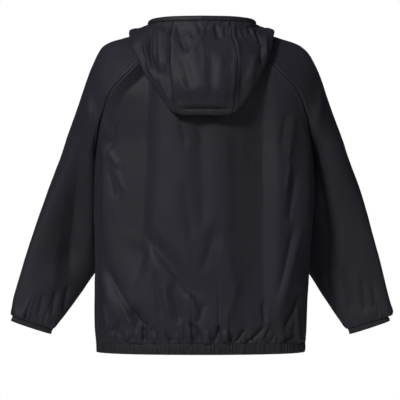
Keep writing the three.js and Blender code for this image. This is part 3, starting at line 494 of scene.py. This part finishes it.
def wobble(points, scale, seed):  # smooth noise, longer up and down than across
    offset = Vector((seed * 7.13, seed * 3.7, seed * 1.9))
    size = Vector((1 / scale, 1 / scale, 0.4 / scale))
    flat = points.reshape(-1, 3)
    values = [noise.noise(Vector(p) * size + offset) for p in flat]
    return np.array(values).reshape(points.shape[:2])


def puffs(position, period, seed):  # rounded puffs with sharp troughs between them, unevenly spaced
    flat = np.ravel(position) / period
    wave = np.array([noise.noise(Vector((t, seed * 5.1, 0.3))) for t in flat]).reshape(np.shape(position))
    return 2.4 * np.abs(wave) - 0.5


# from an elastic: fine near it, fewer and longer farther off, leaning this way and that
def gathers(distance, position, sizes, seed):
    slant = (puffs(position, 70, seed + 3) + puffs(position, 31, seed + 4) * 0.6) * distance
    slant = slant * np.exp(-distance / 70)
    height = 0 * distance
    for k, (period, length, size) in enumerate(zip(sizes["spacing"], sizes["reach"], (0.9, 2.1, 3.2))):
        start = smooth(distance, -6, 3 + 4 * k)
        height += size * puffs(position + slant * (0.4 + 0.5 * k), period, seed + k) * np.exp(
            -(distance / length) ** 1.4) * start
    return sizes["gathers"] * height


def seamPinch(distance):  # cloth drawn down into a seam, with the allowance's soft ridge beside it
    return -1.6 * np.exp(-(distance / 1.8) ** 2) + 1.3 * np.exp(-((distance - 5.5) / 2.8) ** 2)


def runAcross(points):  # distance along each row from its first point
    steps = np.linalg.norm(np.diff(points, axis=1), axis=2)
    return np.concatenate([np.zeros((len(points), 1)), np.cumsum(steps, 1)], 1)


def runAlong(points):
    return runAcross(points.transpose(1, 0, 2)).T


sewn = {}  # each piece's finished points, for the stitches
base = {}  # the same before folds, for the zip
clothSlots = []


def inScene(name, data):
    thing = bpy.data.objects.new(name, data)
    bpy.context.scene.collection.objects.link(thing)
    return thing


def smoothPiece(name, mesh):
    mesh.polygons.foreach_set("use_smooth", [True] * len(mesh.polygons))
    mesh.update()
    return inScene(name, mesh)


def clothMesh(name, points, wall):  # a grid of cloth with its own flat coordinates in metres
    rows, columns = points.shape[:2]
    bm = bmesh.new()
    bmesh.ops.create_grid(bm, x_segments=columns - 1, y_segments=rows - 1, size=1)
    mesh = bpy.data.meshes.new(name)
    bm.to_mesh(mesh)
    bm.free()
    co = np.empty(len(mesh.vertices) * 3, np.float32)
    mesh.vertices.foreach_get("co", co)
    co = co.reshape(-1, 3)
    column = np.rint((co[:, 0] + 1) / 2 * (columns - 1)).astype(int)
    row = np.rint((co[:, 1] + 1) / 2 * (rows - 1)).astype(int)
    mesh.vertices.foreach_set("co", (points[row, column] * mm).astype(np.float32).ravel())
    u = runAcross(points)
    u = (u - u[:, u.shape[1] // 2][:, None]) * mm
    v = runAlong(points)[:, columns // 2][:, None] * mm + 0 * u
    flatUv = np.stack([u, v], -1)[row, column]
    loopVertex = np.empty(len(mesh.loops), np.int32)
    mesh.loops.foreach_get("vertex_index", loopVertex)
    layer = mesh.uv_layers.new(name="cut")
    layer.data.foreach_set("uv", flatUv[loopVertex].astype(np.float32).ravel())
    piece = smoothPiece(name, mesh)
    thick = piece.modifiers.new("wall", "SOLIDIFY")
    thick.thickness = wall * mm
    thick.offset = -1
    return piece


def areaOf(points):
    a = np.cross(points[1:, :-1] - points[:-1, :-1], points[:-1, 1:] - points[:-1, :-1])
    b = np.cross(points[:-1, 1:] - points[1:, 1:], points[1:, :-1] - points[1:, 1:])
    return (np.linalg.norm(a, axis=2).sum() + np.linalg.norm(b, axis=2).sum()) / 2 * mm * mm


clothKinds = {"draped": ("shell", 0.7), "gathered": ("casing", 1.6), "stretched": ("zip_tape", 0.5)}


def addCloth(name, node, points, held, sizes):
    slot, wall = clothKinds[held]
    piece = clothMesh(name, points, wall)
    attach(piece, "jacket")
    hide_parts(node)
    sewn[name] = points
    clothSlots.append((piece, slot))
    print(name, "area", round(areaOf(points), 4), "flat", sizes["flat"], "cells", points.shape[:2])


cloth = {"step": 5.2, "columns": 2.4, "fineRows": 34, "lap": 1.6}
torsoLengths = [22, 34, 72, 100, 110, 99, 45, 45, 48, 60, 62, 42]
rowStep = cloth["step"] * 1
columnStep = cloth["columns"] * 1


def torsoStations(first):
    return stationsFor(torsoLengths[first:], first, neckStation, rowStep, cloth["fineRows"])


def edgeDistances(points):  # along the cloth, from each of a sheet's four edges
    across, down = runAcross(points), runAlong(points)
    return {"first": across, "last": across[:, -1:] - across, "bottom": down, "top": down[-1:] - down}


def seamRelief(points, edges):  # pinches a sheet down along the edges where it is sewn
    distance = edgeDistances(points)
    return sum(seamPinch(distance[edge]) for edge in edges)


def awayFrom(edges, points, reach):  # 0 at the named edges, 1 from reach on
    distance = edgeDistances(points)
    return smooth(np.minimum.reduce([distance[edge] for edge in edges]), 0, reach)


def raised(points, height):  # moves each point out along the cloth's normal
    return points + normalsOf(points) * height[..., None]


def finished(points, height):  # moves the cloth out, half as far at its own edges so that seams still meet
    return raised(points, height * (0.5 + 0.5 * awayFrom(("first", "last", "bottom", "top"), points, 10)))


def looseness(points, sizes, seed):  # the slight waviness of loose cloth: a height and a scale for each layer
    return sum(height * wobble(points, scale, seed + k) for k, (height, scale) in enumerate(sizes))


backCloth = {
    "halfWidth": 245, "density": 1.6, "foldFade": 34, "looseness": [(1.1, 34), (0.4, 13)],
    "gathers": 2.3, "spacing": (6.5, 14, 30), "reach": (9, 26, 62), "gatherFade": 20,
    "flat": (0.64, 0.72), "area": 0.37,
}
shares = np.linspace(0, 1, round(backCloth["halfWidth"] * backCloth["density"] / columnStep) + 1)
back = lean(backPanel(torsoStations(1), shares))
height = relief(back, backFolds, 1) * awayFrom(("first", "last", "top"), back, backCloth["foldFade"])
height += looseness(back, backCloth["looseness"], 1)
height += gathers(runAlong(back), back[..., 0], backCloth, 3) * awayFrom(
    ("first", "last"), back, backCloth["gatherFade"])
height += seamRelief(back, ["first", "last", "bottom"])
addCloth("backPanel", "back", finished(back, height), "draped", backCloth)

# elastic casing along the back hem, with a short lap above the seam
hemCasing = {"rows": 14, "lapStation": 1.06, "swell": 1.4, "puff": 2.0, "puffPeriod": 5.2, "wave": 0.6,
             "wavePeriod": 24, "sideFade": 9, "flat": (0.66, 0.022)}
hemRows = np.linspace(0, 1, hemCasing["rows"])
hem = lean(backPanel(np.append(hemRows, hemCasing["lapStation"]), np.linspace(0, 1, 2 * len(shares) - 1)))
arch = np.append(np.sin(np.pi * hemRows), 0)[:, None]
height = hemCasing["swell"] * arch ** 0.7
height = height + hemCasing["puff"] * puffs(hem[..., 0], hemCasing["puffPeriod"], 3) * (0.25 + 0.75 * arch)
height += hemCasing["wave"] * puffs(hem[..., 0], hemCasing["wavePeriod"], 5)
height = height * awayFrom(("first", "last"), hem, hemCasing["sideFade"])
addCloth("hemCasing", "hem_casing", raised(hem, height), "gathered", hemCasing)

frontCloth = {"width": 262, "foldFade": 26, "looseness": [(1.3, 34), (0.6, 13)], "zipFade": (8, 46),
              "flat": (0.36, 0.66), "area": 0.185}
shares = np.linspace(0, 1, round(frontCloth["width"] / columnStep) + 1)
for side, seed, zipEdge, seamEdge in (("left", 11, "first", "last"), ("right", 17, "last", "first")):
    front = panelHalf("front", side, torsoStations(0), form["frontEdge"], shares)
    front = lean(front if side == "left" else mirrored(front))
    base[f"front{side.title()}"] = front
    height = relief(front, frontFolds, -1) * awayFrom((seamEdge, "top"), front, frontCloth["foldFade"])
    height += looseness(front, frontCloth["looseness"], seed)
    height += seamRelief(front, [seamEdge])
    fromZip = edgeDistances(front)[zipEdge]
    height = height * smooth(fromZip, *frontCloth["zipFade"]) + seamPinch(fromZip + 2) * 0.5
    addCloth(f"front{side.title()}", f"front_{side}", finished(front, height), "draped", frontCloth)

sleeveCloth = {
    "armLengths": [22, 68, 78, 80, 70, 68], "capLengths": [98, 92, 52, 54, 50, 42],
    "width": 150, "density": 1.25, "looseness": [(0.9, 30), (0.3, 12)],
    "gathers": 2.1, "spacing": (6, 11, 22), "reach": (8, 18, 40), "blouse": 1.5, "seamStart": (330, 360),
    "flat": (0.44, 0.76), "area": 0.225,
}
cuffCasing = {"rows": 9, "swell": 0.9, "puff": 1.5, "puffPeriod": 5.2, "flat": (0.26, 0.012)}
cuffStation = 6
for side, sign, seed, backSet in (
    ("left", 1, 23, leftSleeveBackFolds), ("right", -1, 31, rightSleeveBackFolds),
):
    shares = np.linspace(0, 1, round(sleeveCloth["width"] * sleeveCloth["density"] / columnStep) + 1)
    fromCuffUp = stationsFor(sleeveCloth["armLengths"], 0, cuffStation, rowStep, cloth["fineRows"])
    armStations = cuffStation - fromCuffUp[::-1]
    capStations = stationsFor(sleeveCloth["capLengths"], underarmStation, neckStation, rowStep)
    sleeve = np.concatenate([armRows(armStations, shares)[:0:-1], capRows(capStations, shares)])
    bend = len(armStations) - 1
    for _ in range(14):  # eases the step in form where the arm leaves the body
        eased = sleeve.copy()
        eased[1:-1] = (sleeve[:-2] + sleeve[2:]) / 2
        band = np.exp(-((np.arange(len(sleeve)) - bend) * rowStep / 40) ** 2)[:, None, None]
        column = np.arange(sleeve.shape[1])
        edgeFade = smooth(np.minimum(column, column[::-1]) * columnStep, 0, 30)
        sleeve = sleeve + (eased - sleeve) * band * edgeFade[None, :, None]
    cuffStations = np.linspace(cuffStation + 1, cuffStation, cuffCasing["rows"])
    cuff = armRows(cuffStations, np.linspace(0, 1, 2 * len(shares) - 1))
    if side == "right":
        sleeve, cuff = mirrored(sleeve), mirrored(cuff)
    sleeve, cuff = lean(sleeve), lean(cuff)
    frontSet = [[f[0] * sign, f[1], f[2] * sign, f[3], f[4] * sign, *f[5:]] for f in sleeveFrontFolds]
    height = relief(sleeve, backSet, 1) + relief(sleeve, frontSet, -1)
    height += looseness(sleeve, sleeveCloth["looseness"], seed)
    fromCuff = runAlong(sleeve)
    blouse = sleeveCloth["blouse"] * np.exp(-((fromCuff - 12) / 9) ** 2)
    height += gathers(fromCuff, runAcross(cuff)[-1:, ::2], sleeveCloth, seed + 2) + blouse
    height += seamPinch(fromCuff)
    height += seamRelief(sleeve, ["first", "last"]) * smooth(fromCuff, *sleeveCloth["seamStart"])
    addCloth(f"sleeve{side.title()}", f"sleeve_{side}", finished(sleeve, height), "draped", sleeveCloth)
    arch = np.sin(np.pi * np.linspace(0, 1, len(cuff))[:, None])
    fine = puffs(runAcross(cuff), cuffCasing["puffPeriod"], seed + 2)
    height = cuffCasing["swell"] * arch ** 0.7 + cuffCasing["puff"] * fine * (0.3 + 0.7 * arch)
    addCloth(f"cuff{side.title()}", f"cuff_{side}", raised(cuff, height), "gathered", cuffCasing)

hoodCloth = {
    "underLength": 200, "overLength": 225, "density": 1.9, "centreWidth": 62,
    "sideLengths": [56, 52, 58, 52, 56, 52, 50], "looseness": [(0.9, 26), (0.5, 11)],
    "gathers": 1.1, "spacing": (6, 11, 21), "reach": (7, 15, 28),
    "centre": {"flat": (0.14, 0.44), "area": 0.060}, "side": {"flat": (0.36, 0.42), "area": 0.057},
}
hoodLast = len(form["hood"]) - 1
underShares = np.linspace(0, 1, round(hoodCloth["underLength"] / rowStep) + 1) ** 0.9
overShares = np.linspace(0, 1, round(hoodCloth["overLength"] * hoodCloth["density"] / rowStep) + 1)
centreStations = np.linspace(0, form["hoodSeam"], round(hoodCloth["centreWidth"] / columnStep) + 1)
centreHalf = hoodColumns(centreStations, underShares, overShares)
sideStations = stationsFor(hoodCloth["sideLengths"], form["hoodSeam"], hoodLast, columnStep)
sideLeft = hoodColumns(sideStations, underShares, overShares)[:, ::-1]
centre = np.concatenate([centreHalf[:, :0:-1], mirrored(centreHalf)[:, ::-1]], 1)
hoodTops = {}
for name, node, sheet, seed, kind, edges in (
    ("hoodCentre", "hood_centre", centre, 41, "centre", ["first", "last"]),
    ("hoodSideLeft", "hood_side_left", sideLeft, 43, "side", ["last"]),
    ("hoodSideRight", "hood_side_right", mirrored(sideLeft), 47, "side", ["first"]),
):
    sheet = lean(sheet)
    under = len(underShares)
    outer = smooth(np.arange(len(sheet)), under - 2, under + 2)[:, None]
    height = relief(sheet, hoodFolds, 1) * outer
    height += looseness(sheet, hoodCloth["looseness"], seed) * (0.4 + 0.6 * outer)
    position = sheet[..., 0] - np.abs(sheet[..., 1]) * 0.4
    height += gathers(edgeDistances(sheet)["top"], position, hoodCloth, 51) * outer
    height += 0.5 * seamRelief(sheet, edges) + seamRelief(sheet, ["top"])
    addCloth(name, node, finished(sheet, height), "draped", hoodCloth[kind])
    hoodTops[name] = sheet[-1] + unit(sheet[-2] - sheet[-1]) * cloth["lap"]
    base[name] = sheet

# casing round the hood's opening, over an elastic
edge = np.concatenate([hoodTops["hoodSideLeft"], hoodTops["hoodCentre"][1:], hoodTops["hoodSideRight"][1:]])
rimCasing = {"rows": 9, "turnIn": 3, "swell": 1.2, "puff": 0.5, "puffPeriod": 5.4, "flat": (0.86, 0.011)}
rise = np.linspace(0, 1, rimCasing["rows"])[:, None, None]
inward = unit(edge * np.array([-1, -1, 0]))
upright = np.array([0, 0, form["rimHeight"] + cloth["lap"]])
rim = edge + inward * rimCasing["turnIn"] * rise ** 2 + upright * rise
arch = np.sin(np.pi * rise[..., 0])
fine = puffs(runAcross(rim), rimCasing["puffPeriod"], 61)
height = rimCasing["swell"] * arch ** 0.7 + rimCasing["puff"] * fine * arch ** 0.5
addCloth("hoodRim", "hood_rim", raised(rim, height), "gathered", rimCasing)
print("cloth made")


zipSizes = {
    "tapeWidth": 16.5, "cordInset": 0.4, "flat": (0.0165, 0.70), "teethHalfWidth": 2.8, "teethInset": 0.9,
    "boxHeight": 10, "belowRim": 9, "bridge": 4, "gap": 0.3, "cadWall": 1.2, "stepUp": 3.5, "teethPastTop": 4,
    "toothPitch": 1.5, "toothSize": (1.9, 0.62, 0.95), "toothAside": 0.8, "toothDepth": 1.0, "endMargin": 0.8,
}


def besideZip(side, distances, inset):  # points beside the zip, up the front and then the hood
    rows = []
    for name in (f"front{side.title()}", f"hoodSide{side.title()}"):
        order = slice(None) if side == "left" else slice(None, None, -1)
        near, nearNormals = (values[:, order][:, :14] for values in (base[name], normalsOf(base[name])))
        run = runAcross(near)
        for line, lineNormals, r in zip(near, nearNormals, run):
            row = []
            for distance in distances:
                beyond = unit(line[1] - line[0]) * min(distance, 0)
                out = valuesAt(distance, r, lineNormals) * np.array([0, 1, 1])
                deep = inset + max(0, distance) * 0.05
                row.append(valuesAt(distance, r, line) + beyond - unit(out) * deep)
            rows.append(row)
    return np.array(rows)


def evenlyUp(rows, low, high, step):  # rows of a strip, evenly spaced in height between two levels
    rows = rows[np.concatenate([[True], np.diff(rows[:, 0, 2]) > 0.2])]
    levels = np.linspace(low, high, round((high - low) / step) + 1)
    return np.stack([valuesAt(levels, rows[:, c, 2], rows[:, c]) for c in range(rows.shape[1])], 1)


start = zipSizes["cordInset"] - form["frontEdge"]  # the tape runs in behind the teeth that grip it
tapeDistances = [start + zipSizes["tapeWidth"] * share for share in np.linspace(0, 1, 7)]
zipEdges = {side: besideZip(side, [zipSizes["teethHalfWidth"] - form["frontEdge"]], zipSizes["teethInset"])
            for side in ("left", "right")}
zipBottom = zipEdges["left"][0, 0, 2]
zipTop = zipEdges["left"][-1, 0, 2] - zipSizes["belowRim"]
for side in ("left", "right"):
    rows = besideZip(side, tapeDistances, zipSizes["cadWall"] + 3 * zipSizes["gap"])
    tape = evenlyUp(rows, rows[0, 0, 2], rows[-1, 0, 2], zipSizes["stepUp"])
    if side == "right":
        tape = tape[:, ::-1]
    addCloth(f"zipTape{side.title()}", f"zip_tape_{side}", tape, "stretched", zipSizes)
leftRow, rightRow = (evenlyUp(zipEdges[side], zipBottom, zipTop + zipSizes["teethPastTop"], 1)[:, 0]
                     for side in ("left", "right"))
centreRows = (leftRow + rightRow) / 2


def repeated(name, template, places):  # one mesh of a small shape set at many places
    verts = np.array([v.co for v in template.verts])
    faces = np.array([[v.index for v in f.verts] for f in template.faces])
    places = np.asarray(places)  # count, 4, 3: centre, then the shape's three axes
    points = places[:, None, 0] + np.einsum("vk,nkj->nvj", verts, places[:, 1:])
    count = len(places)
    index = faces[None] + (np.arange(count) * len(verts))[:, None, None]
    mesh = bpy.data.meshes.new(name)
    mesh.from_pydata((points.reshape(-1, 3) * mm).tolist(), [], index.reshape(-1, faces.shape[1]).tolist())
    template.free()
    piece = smoothPiece(name, mesh)
    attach(piece, "jacket")
    return piece


def bead():  # a small rounded lump of one unit's radius
    bm = bmesh.new()
    bmesh.ops.create_icosphere(bm, subdivisions=1, radius=1)
    bm.verts.index_update()
    return bm


stitchSizes = {"pitch": 3.6, "length": 1.35, "width": 0.32, "height": 0.24, "lift": 0.1}
stitchPlaces = []


def stitchLine(line, normals):  # thread stitches laid along a line on the cloth
    run = runAcross(line[None])[0]
    at = np.arange(stitchSizes["pitch"], run[-1] - stitchSizes["pitch"] / 2, stitchSizes["pitch"])
    centre, up = valuesAt(at, run, line), unit(valuesAt(at, run, normals))
    half = stitchSizes["length"]
    ahead = unit(valuesAt(at + half, run, line) - valuesAt(at - half, run, line))
    side = unit(np.cross(up, ahead))
    centre = centre + up * stitchSizes["lift"]
    size = side * stitchSizes["width"], up * stitchSizes["height"]
    stitchPlaces.extend(np.stack([centre, ahead * half, *size], 1))


def edgeLine(name, edge, inset, fromShare):  # stitches a line inset from one edge of a finished piece
    points = sewn[name]
    normals = normalsOf(points)
    if edge in ("bottom", "top"):
        points, normals = points.transpose(1, 0, 2), normals.transpose(1, 0, 2)
    if edge in ("last", "top"):
        points, normals = points[:, ::-1], normals[:, ::-1]
    first = round(fromShare * len(points))
    points, normals = points[first:, :40], normals[first:, :40]
    run = runAcross(points)
    line, up = (np.array([valuesAt(inset, r, v) for r, v in zip(run, rows)]) for rows in (points, normals))
    stitchLine(line, up)


stitches = [  # piece, edge, inset, and from which share of the edge on
    ["hemCasing", "top", 1.6, 0], ["cuffLeft", "top", 1.4, 0], ["cuffRight", "top", 1.4, 0],
    ["hoodRim", "bottom", 1.4, 0], ["backPanel", "first", 2.4, 0.60], ["backPanel", "last", 2.4, 0.60],
    ["frontLeft", "last", 2.4, 0.62], ["frontRight", "first", 2.4, 0.62],
    ["frontLeft", "first", 5, 0], ["frontRight", "last", 5, 0],
    ["frontLeft", "bottom", 20, 0], ["frontRight", "bottom", 20, 0],
    ["hoodCentre", "first", 2.6, 0.04], ["hoodCentre", "last", 2.6, 0.04],
]
for row in stitches:
    edgeLine(*row)
stitching = repeated("stitching", bead(), stitchPlaces)
print("stitches", len(stitchPlaces))

# interlocking teeth, left and right in turn
run = runAcross(centreRows[None])[0]
levels = centreRows[:, 2]
lowRun, highRun = np.interp([zipBottom + zipSizes["boxHeight"] + zipSizes["gap"],
                             zipTop - zipSizes["bridge"] - zipSizes["gap"]], levels, run)
at = np.arange(lowRun + zipSizes["endMargin"], highRun - zipSizes["endMargin"], zipSizes["toothPitch"] / 2)
centres = valuesAt(at, run, centreRows)
upward = unit(np.gradient(centres, axis=0) * np.array([0, 1, 1]))
outward = unit(np.cross(np.array([1.0, 0, 0]), upward))
turns = np.where(np.arange(len(at)) % 2, 1.0, -1.0)[:, None]
toothWidth, toothHeight, toothThickness = zipSizes["toothSize"]
toothPlaces = np.stack([
    centres + turns * np.array([zipSizes["toothAside"], 0, 0]) - outward * zipSizes["toothDepth"],
    np.tile([toothWidth, 0, 0], (len(at), 1)), upward * toothHeight, outward * toothThickness,
], 1)
teeth = repeated("zipTeeth", bead(), toothPlaces)
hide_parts("zip_teeth")


def softened(node, name, body, width):  # a hard piece with its edges rounded
    bm = bmesh.new()
    bm.from_mesh(nodes[node].data)
    bmesh.ops.remove_doubles(bm, verts=bm.verts, dist=1e-6)
    bmesh.ops.dissolve_limit(bm, angle_limit=math.radians(2), verts=bm.verts, edges=bm.edges)
    sharp = [e for e in bm.edges if len(e.link_faces) == 2 and e.calc_face_angle() > math.radians(35)]
    bmesh.ops.bevel(bm, geom=sharp, offset=width * mm, affect="EDGES", segments=2, profile=0.5, material=-1)
    bmesh.ops.recalc_face_normals(bm, faces=bm.faces)
    mesh = bpy.data.meshes.new(name)
    bm.to_mesh(mesh)
    bm.free()
    piece = smoothPiece(name, mesh)
    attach(piece, body)
    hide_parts(node)
    return piece


slider = softened("zip_slider", "zipSlider", "jacket", 0.18)
pullTab = softened("zip_pull", "zipPull", "pull_tab", 0.2)
zipBox = softened("zip_box", "zipBox", "jacket", 0.3)
print("zip made")


class Wire:  # a node's socket that adds Math nodes as it is worked on
    def __init__(self, finish, socket):
        self.finish, self.socket = finish, socket

    def math(self, operation, first, second=0.0):
        return self.finish.add("ShaderNodeMath", {"operation": operation}, {0: first, 1: second})

    def __add__(self, other): return self.math("ADD", self, other)
    def __radd__(self, other): return self.math("ADD", other, self)
    def __sub__(self, other): return self.math("SUBTRACT", self, other)
    def __rsub__(self, other): return self.math("SUBTRACT", other, self)
    def __mul__(self, other): return self.math("MULTIPLY", self, other)
    def __rmul__(self, other): return self.math("MULTIPLY", other, self)
    def __pow__(self, other): return self.math("POWER", self, other)


class Finish:  # a material, its shader's fixed values, and one way to add any node
    def __init__(self, name, **fixed):
        self.material = bpy.data.materials.new(name)
        self.material.use_nodes = True
        self.tree = self.material.node_tree
        self.tree.nodes.clear()
        self.shader = self.tree.nodes.new("ShaderNodeBsdfPrincipled")
        output = self.tree.nodes.new("ShaderNodeOutputMaterial")
        self.tree.links.new(self.shader.outputs[0], output.inputs[0])
        for key, value in fixed.items():
            self.shader.inputs[key.replace("_", " ")].default_value = value

    def feed(self, socket, value):
        if isinstance(value, Wire):
            self.tree.links.new(value.socket, socket)
        else:
            socket.default_value = value

    def add(self, kind, settings=(), values=(), out=0):
        node = self.tree.nodes.new(kind)
        for key, value in dict(settings).items():
            if key == "stops":
                ramp = node.color_ramp.elements
                for stop, (place, level) in zip(ramp, value):
                    stop.position, stop.color = place, (level, level, level, 1)
            else:
                setattr(node, key, value)
        for key, value in dict(values).items():
            self.feed(node.inputs[key], value)
        return Wire(self, node.outputs[out])

    def place(self, source, scale):  # coordinates, stretched by a scale for each axis
        raw = self.add("ShaderNodeTexCoord", out=source) if source != "cut" else self.add(
            "ShaderNodeUVMap", {"uv_map": "cut"})
        return self.add("ShaderNodeMapping", {}, {0: raw, 3: scale})

    def noise(self, place, scale, detail=3.0, rough=0.55, kind="FBM"):
        return self.add("ShaderNodeTexNoise", {"noise_type": kind},
                        {"Vector": place, "Scale": scale, "Detail": detail, "Roughness": rough})

    def finished(self, color, roughness, height, strength, depth):
        self.feed(self.shader.inputs["Base Color"], color)
        self.feed(self.shader.inputs["Roughness"], roughness)
        bump = self.add("ShaderNodeBump", {}, {"Strength": strength, "Distance": depth, "Height": height})
        self.feed(self.shader.inputs["Normal"], bump)
        return self.material


objectPlace = 3  # the Object output of Texture Coordinate

shade = {
    "shell": (0.0260, 0.0258, 0.0365),
    "shellLight": (0.0436, 0.0432, 0.0590),
    "casing": (0.020, 0.020, 0.027),
    "tape": (0.011, 0.012, 0.016),
    "teeth": (0.013, 0.013, 0.016),
    "metal": (0.022, 0.022, 0.025),
    "threadPitch": 0.00042,
    "roughness": 0.6,
}


def mixed(finish, factor, dark, light):
    values = {0: factor, 6: (*dark, 1), 7: (*light, 1)}
    return finish.add("ShaderNodeMix", {"data_type": "RGBA"}, values, out=2)


def nylon(name, dark, light, weave, crumple, roughness):
    finish = Finish(name, Specular_IOR_Level=0.42, Sheen_Weight=0.03, Sheen_Roughness=0.35,
                    Sheen_Tint=(0.7, 0.75, 0.9, 1))
    cut = finish.place("cut", (1, 1, 1))
    parts = finish.tree.nodes.new("ShaderNodeSeparateXYZ")
    finish.tree.links.new(cut.socket, parts.inputs[0])
    u, v = Wire(finish, parts.outputs[0]), Wire(finish, parts.outputs[1])
    turn = 2 * math.pi / shade["threadPitch"]
    warp, weft = u.math("SINE", u * turn), v.math("SINE", v * turn)
    threads = warp * weft * 0.5 + 0.5
    body = finish.place(objectPlace, (1, 1, 0.45))
    broad = finish.noise(body, 9, 2)
    creases = finish.noise(body, 55, 4, 0.6, "RIDGED_MULTIFRACTAL")
    fine = finish.noise(body, 210, 3, 0.6)
    height = threads * weave + creases * crumple + fine * (crumple * 0.35)
    factor = broad * 0.55 + fine * 0.25 + threads * 0.2
    spread = finish.add("ShaderNodeValToRGB", {"stops": [(0.25, 0.0), (0.75, 1.0)]}, {0: factor})
    color = mixed(finish, spread, dark, light)
    rough = roughness + (broad - 0.5) * 0.16 + (fine - 0.5) * 0.12
    return finish.finished(color, rough, height, 1.0, 0.0006)


shellFinish = nylon("satinNylon", shade["shell"], shade["shellLight"], 0.10, 0.55, shade["roughness"])
casingFinish = nylon("elasticCasing", shade["casing"], shade["shellLight"], 0.12, 0.5, 0.55)
tapeFinish = nylon("wovenTape", shade["tape"], shade["casing"], 0.4, 0.2, 0.7)


def plain(name, dark, light, roughness, grain, **fixed):
    finish = Finish(name, **fixed)
    body = finish.place(objectPlace, (1, 1, 1))
    fine = finish.noise(body, grain, 3, 0.6)
    broad = finish.noise(body, grain / 12, 2)
    color = mixed(finish, broad * 0.6 + fine * 0.4, dark, light)
    return finish.finished(color, roughness + (fine - 0.5) * 0.2, fine, 0.35, 0.0001)


threadFinish = plain("sewingThread", shade["casing"], shade["shellLight"], 0.6, 2600, Sheen_Weight=0.2)
teethFinish = plain("mouldedTeeth", shade["teeth"], shade["casing"], 0.42, 1800)
metalFinish = plain("paintedMetal", shade["metal"], shade["shellLight"], 0.34, 1500, Metallic=0.6,
                    Coat_Weight=0.3)

finishes = {"shell": shellFinish, "casing": casingFinish, "zip_tape": tapeFinish}
for piece, material in ((stitching, threadFinish), (teeth, teethFinish), (slider, metalFinish),
                        (pullTab, metalFinish), (zipBox, teethFinish)):
    piece.data.materials.append(material)
for piece, slot in clothSlots:
    piece.data.materials.append(finishes[slot])
print("finishes made")


studio = {
    "floorLevel": -1.45, "floorSize": 2.2,
    "cameraPlace": (0.0011, 4.0, -0.335), "focal": 163.6,
    "ambient": 0.03,
    "lights": [  # name, place, aim, size, power, seen in gloss
        ["key", (1.8, 2.95, 2.0), (0, 0, -0.3), 0.75, 66, True],
        ["front", (-0.4, 4.2, 0.4), (0, 0, -0.3), 1.8, 4, False],
        ["fill", (-2.8, 2.4, 0.3), (0, 0, -0.35), 2.0, 6, True],
        ["top", (0.2, 0.3, 2.4), (0, 0, -0.2), 1.8, 4, False],
        ["farKey", (-1.5, -3.4, 1.2), (0, 0, -0.3), 0.9, 44, False],
        ["farSide", (2.6, -2.6, 0.2), (0, 0, -0.35), 2.0, 12, False],
    ],
}
bm = bmesh.new()
bmesh.ops.create_circle(bm, cap_ends=True, segments=96, radius=studio["floorSize"])
bmesh.ops.translate(bm, verts=bm.verts, vec=(0, 0, studio["floorLevel"]))
floorMesh = bpy.data.meshes.new("floor")
bm.to_mesh(floorMesh)
bm.free()
floor = inScene("floor", floorMesh)
floorFinish = bpy.data.materials.new("paleFloor")
floorFinish.use_nodes = True
floorShader = floorFinish.node_tree.nodes["Principled BSDF"]
floorShader.inputs["Base Color"].default_value = (0.86, 0.86, 0.86, 1)
floorShader.inputs["Roughness"].default_value = 0.9
floorMesh.materials.append(floorFinish)

for name, place, aim, size, power, glossy in studio["lights"]:
    lamp = bpy.data.lights.new(name, "AREA")
    lamp.size, lamp.energy = size, power
    holder = inScene(name, lamp)
    holder.location = place
    holder.visible_glossy = glossy
    holder.rotation_euler = (Vector(aim) - Vector(place)).to_track_quat("-Z", "Y").to_euler()

world = bpy.data.worlds.new("studio")
world.use_nodes = True
tree = world.node_tree
tree.nodes.clear()
seen, lit, path, blend, output = (tree.nodes.new(f"ShaderNode{kind}") for kind in (
    "Background", "Background", "LightPath", "MixShader", "OutputWorld"))
seen.inputs["Color"].default_value = (1, 1, 1, 1)
lit.inputs["Color"].default_value = (0.95, 0.95, 1, 1)
lit.inputs["Strength"].default_value = studio["ambient"]
tree.links.new(path.outputs["Is Camera Ray"], blend.inputs[0])
tree.links.new(lit.outputs[0], blend.inputs[1])
tree.links.new(seen.outputs[0], blend.inputs[2])
tree.links.new(blend.outputs[0], output.inputs[0])
bpy.context.scene.world = world
bpy.context.scene.view_settings.view_transform = "Standard"

lens = bpy.data.cameras.new("camera")
lens.lens, lens.sensor_width = studio["focal"], 36
camera = inScene("camera", lens)
camera.location = studio["cameraPlace"]
camera.rotation_euler = (math.radians(90), 0, math.radians(180))
bpy.context.scene.camera = camera

bpy.context.view_layer.update()
print("scene ready")
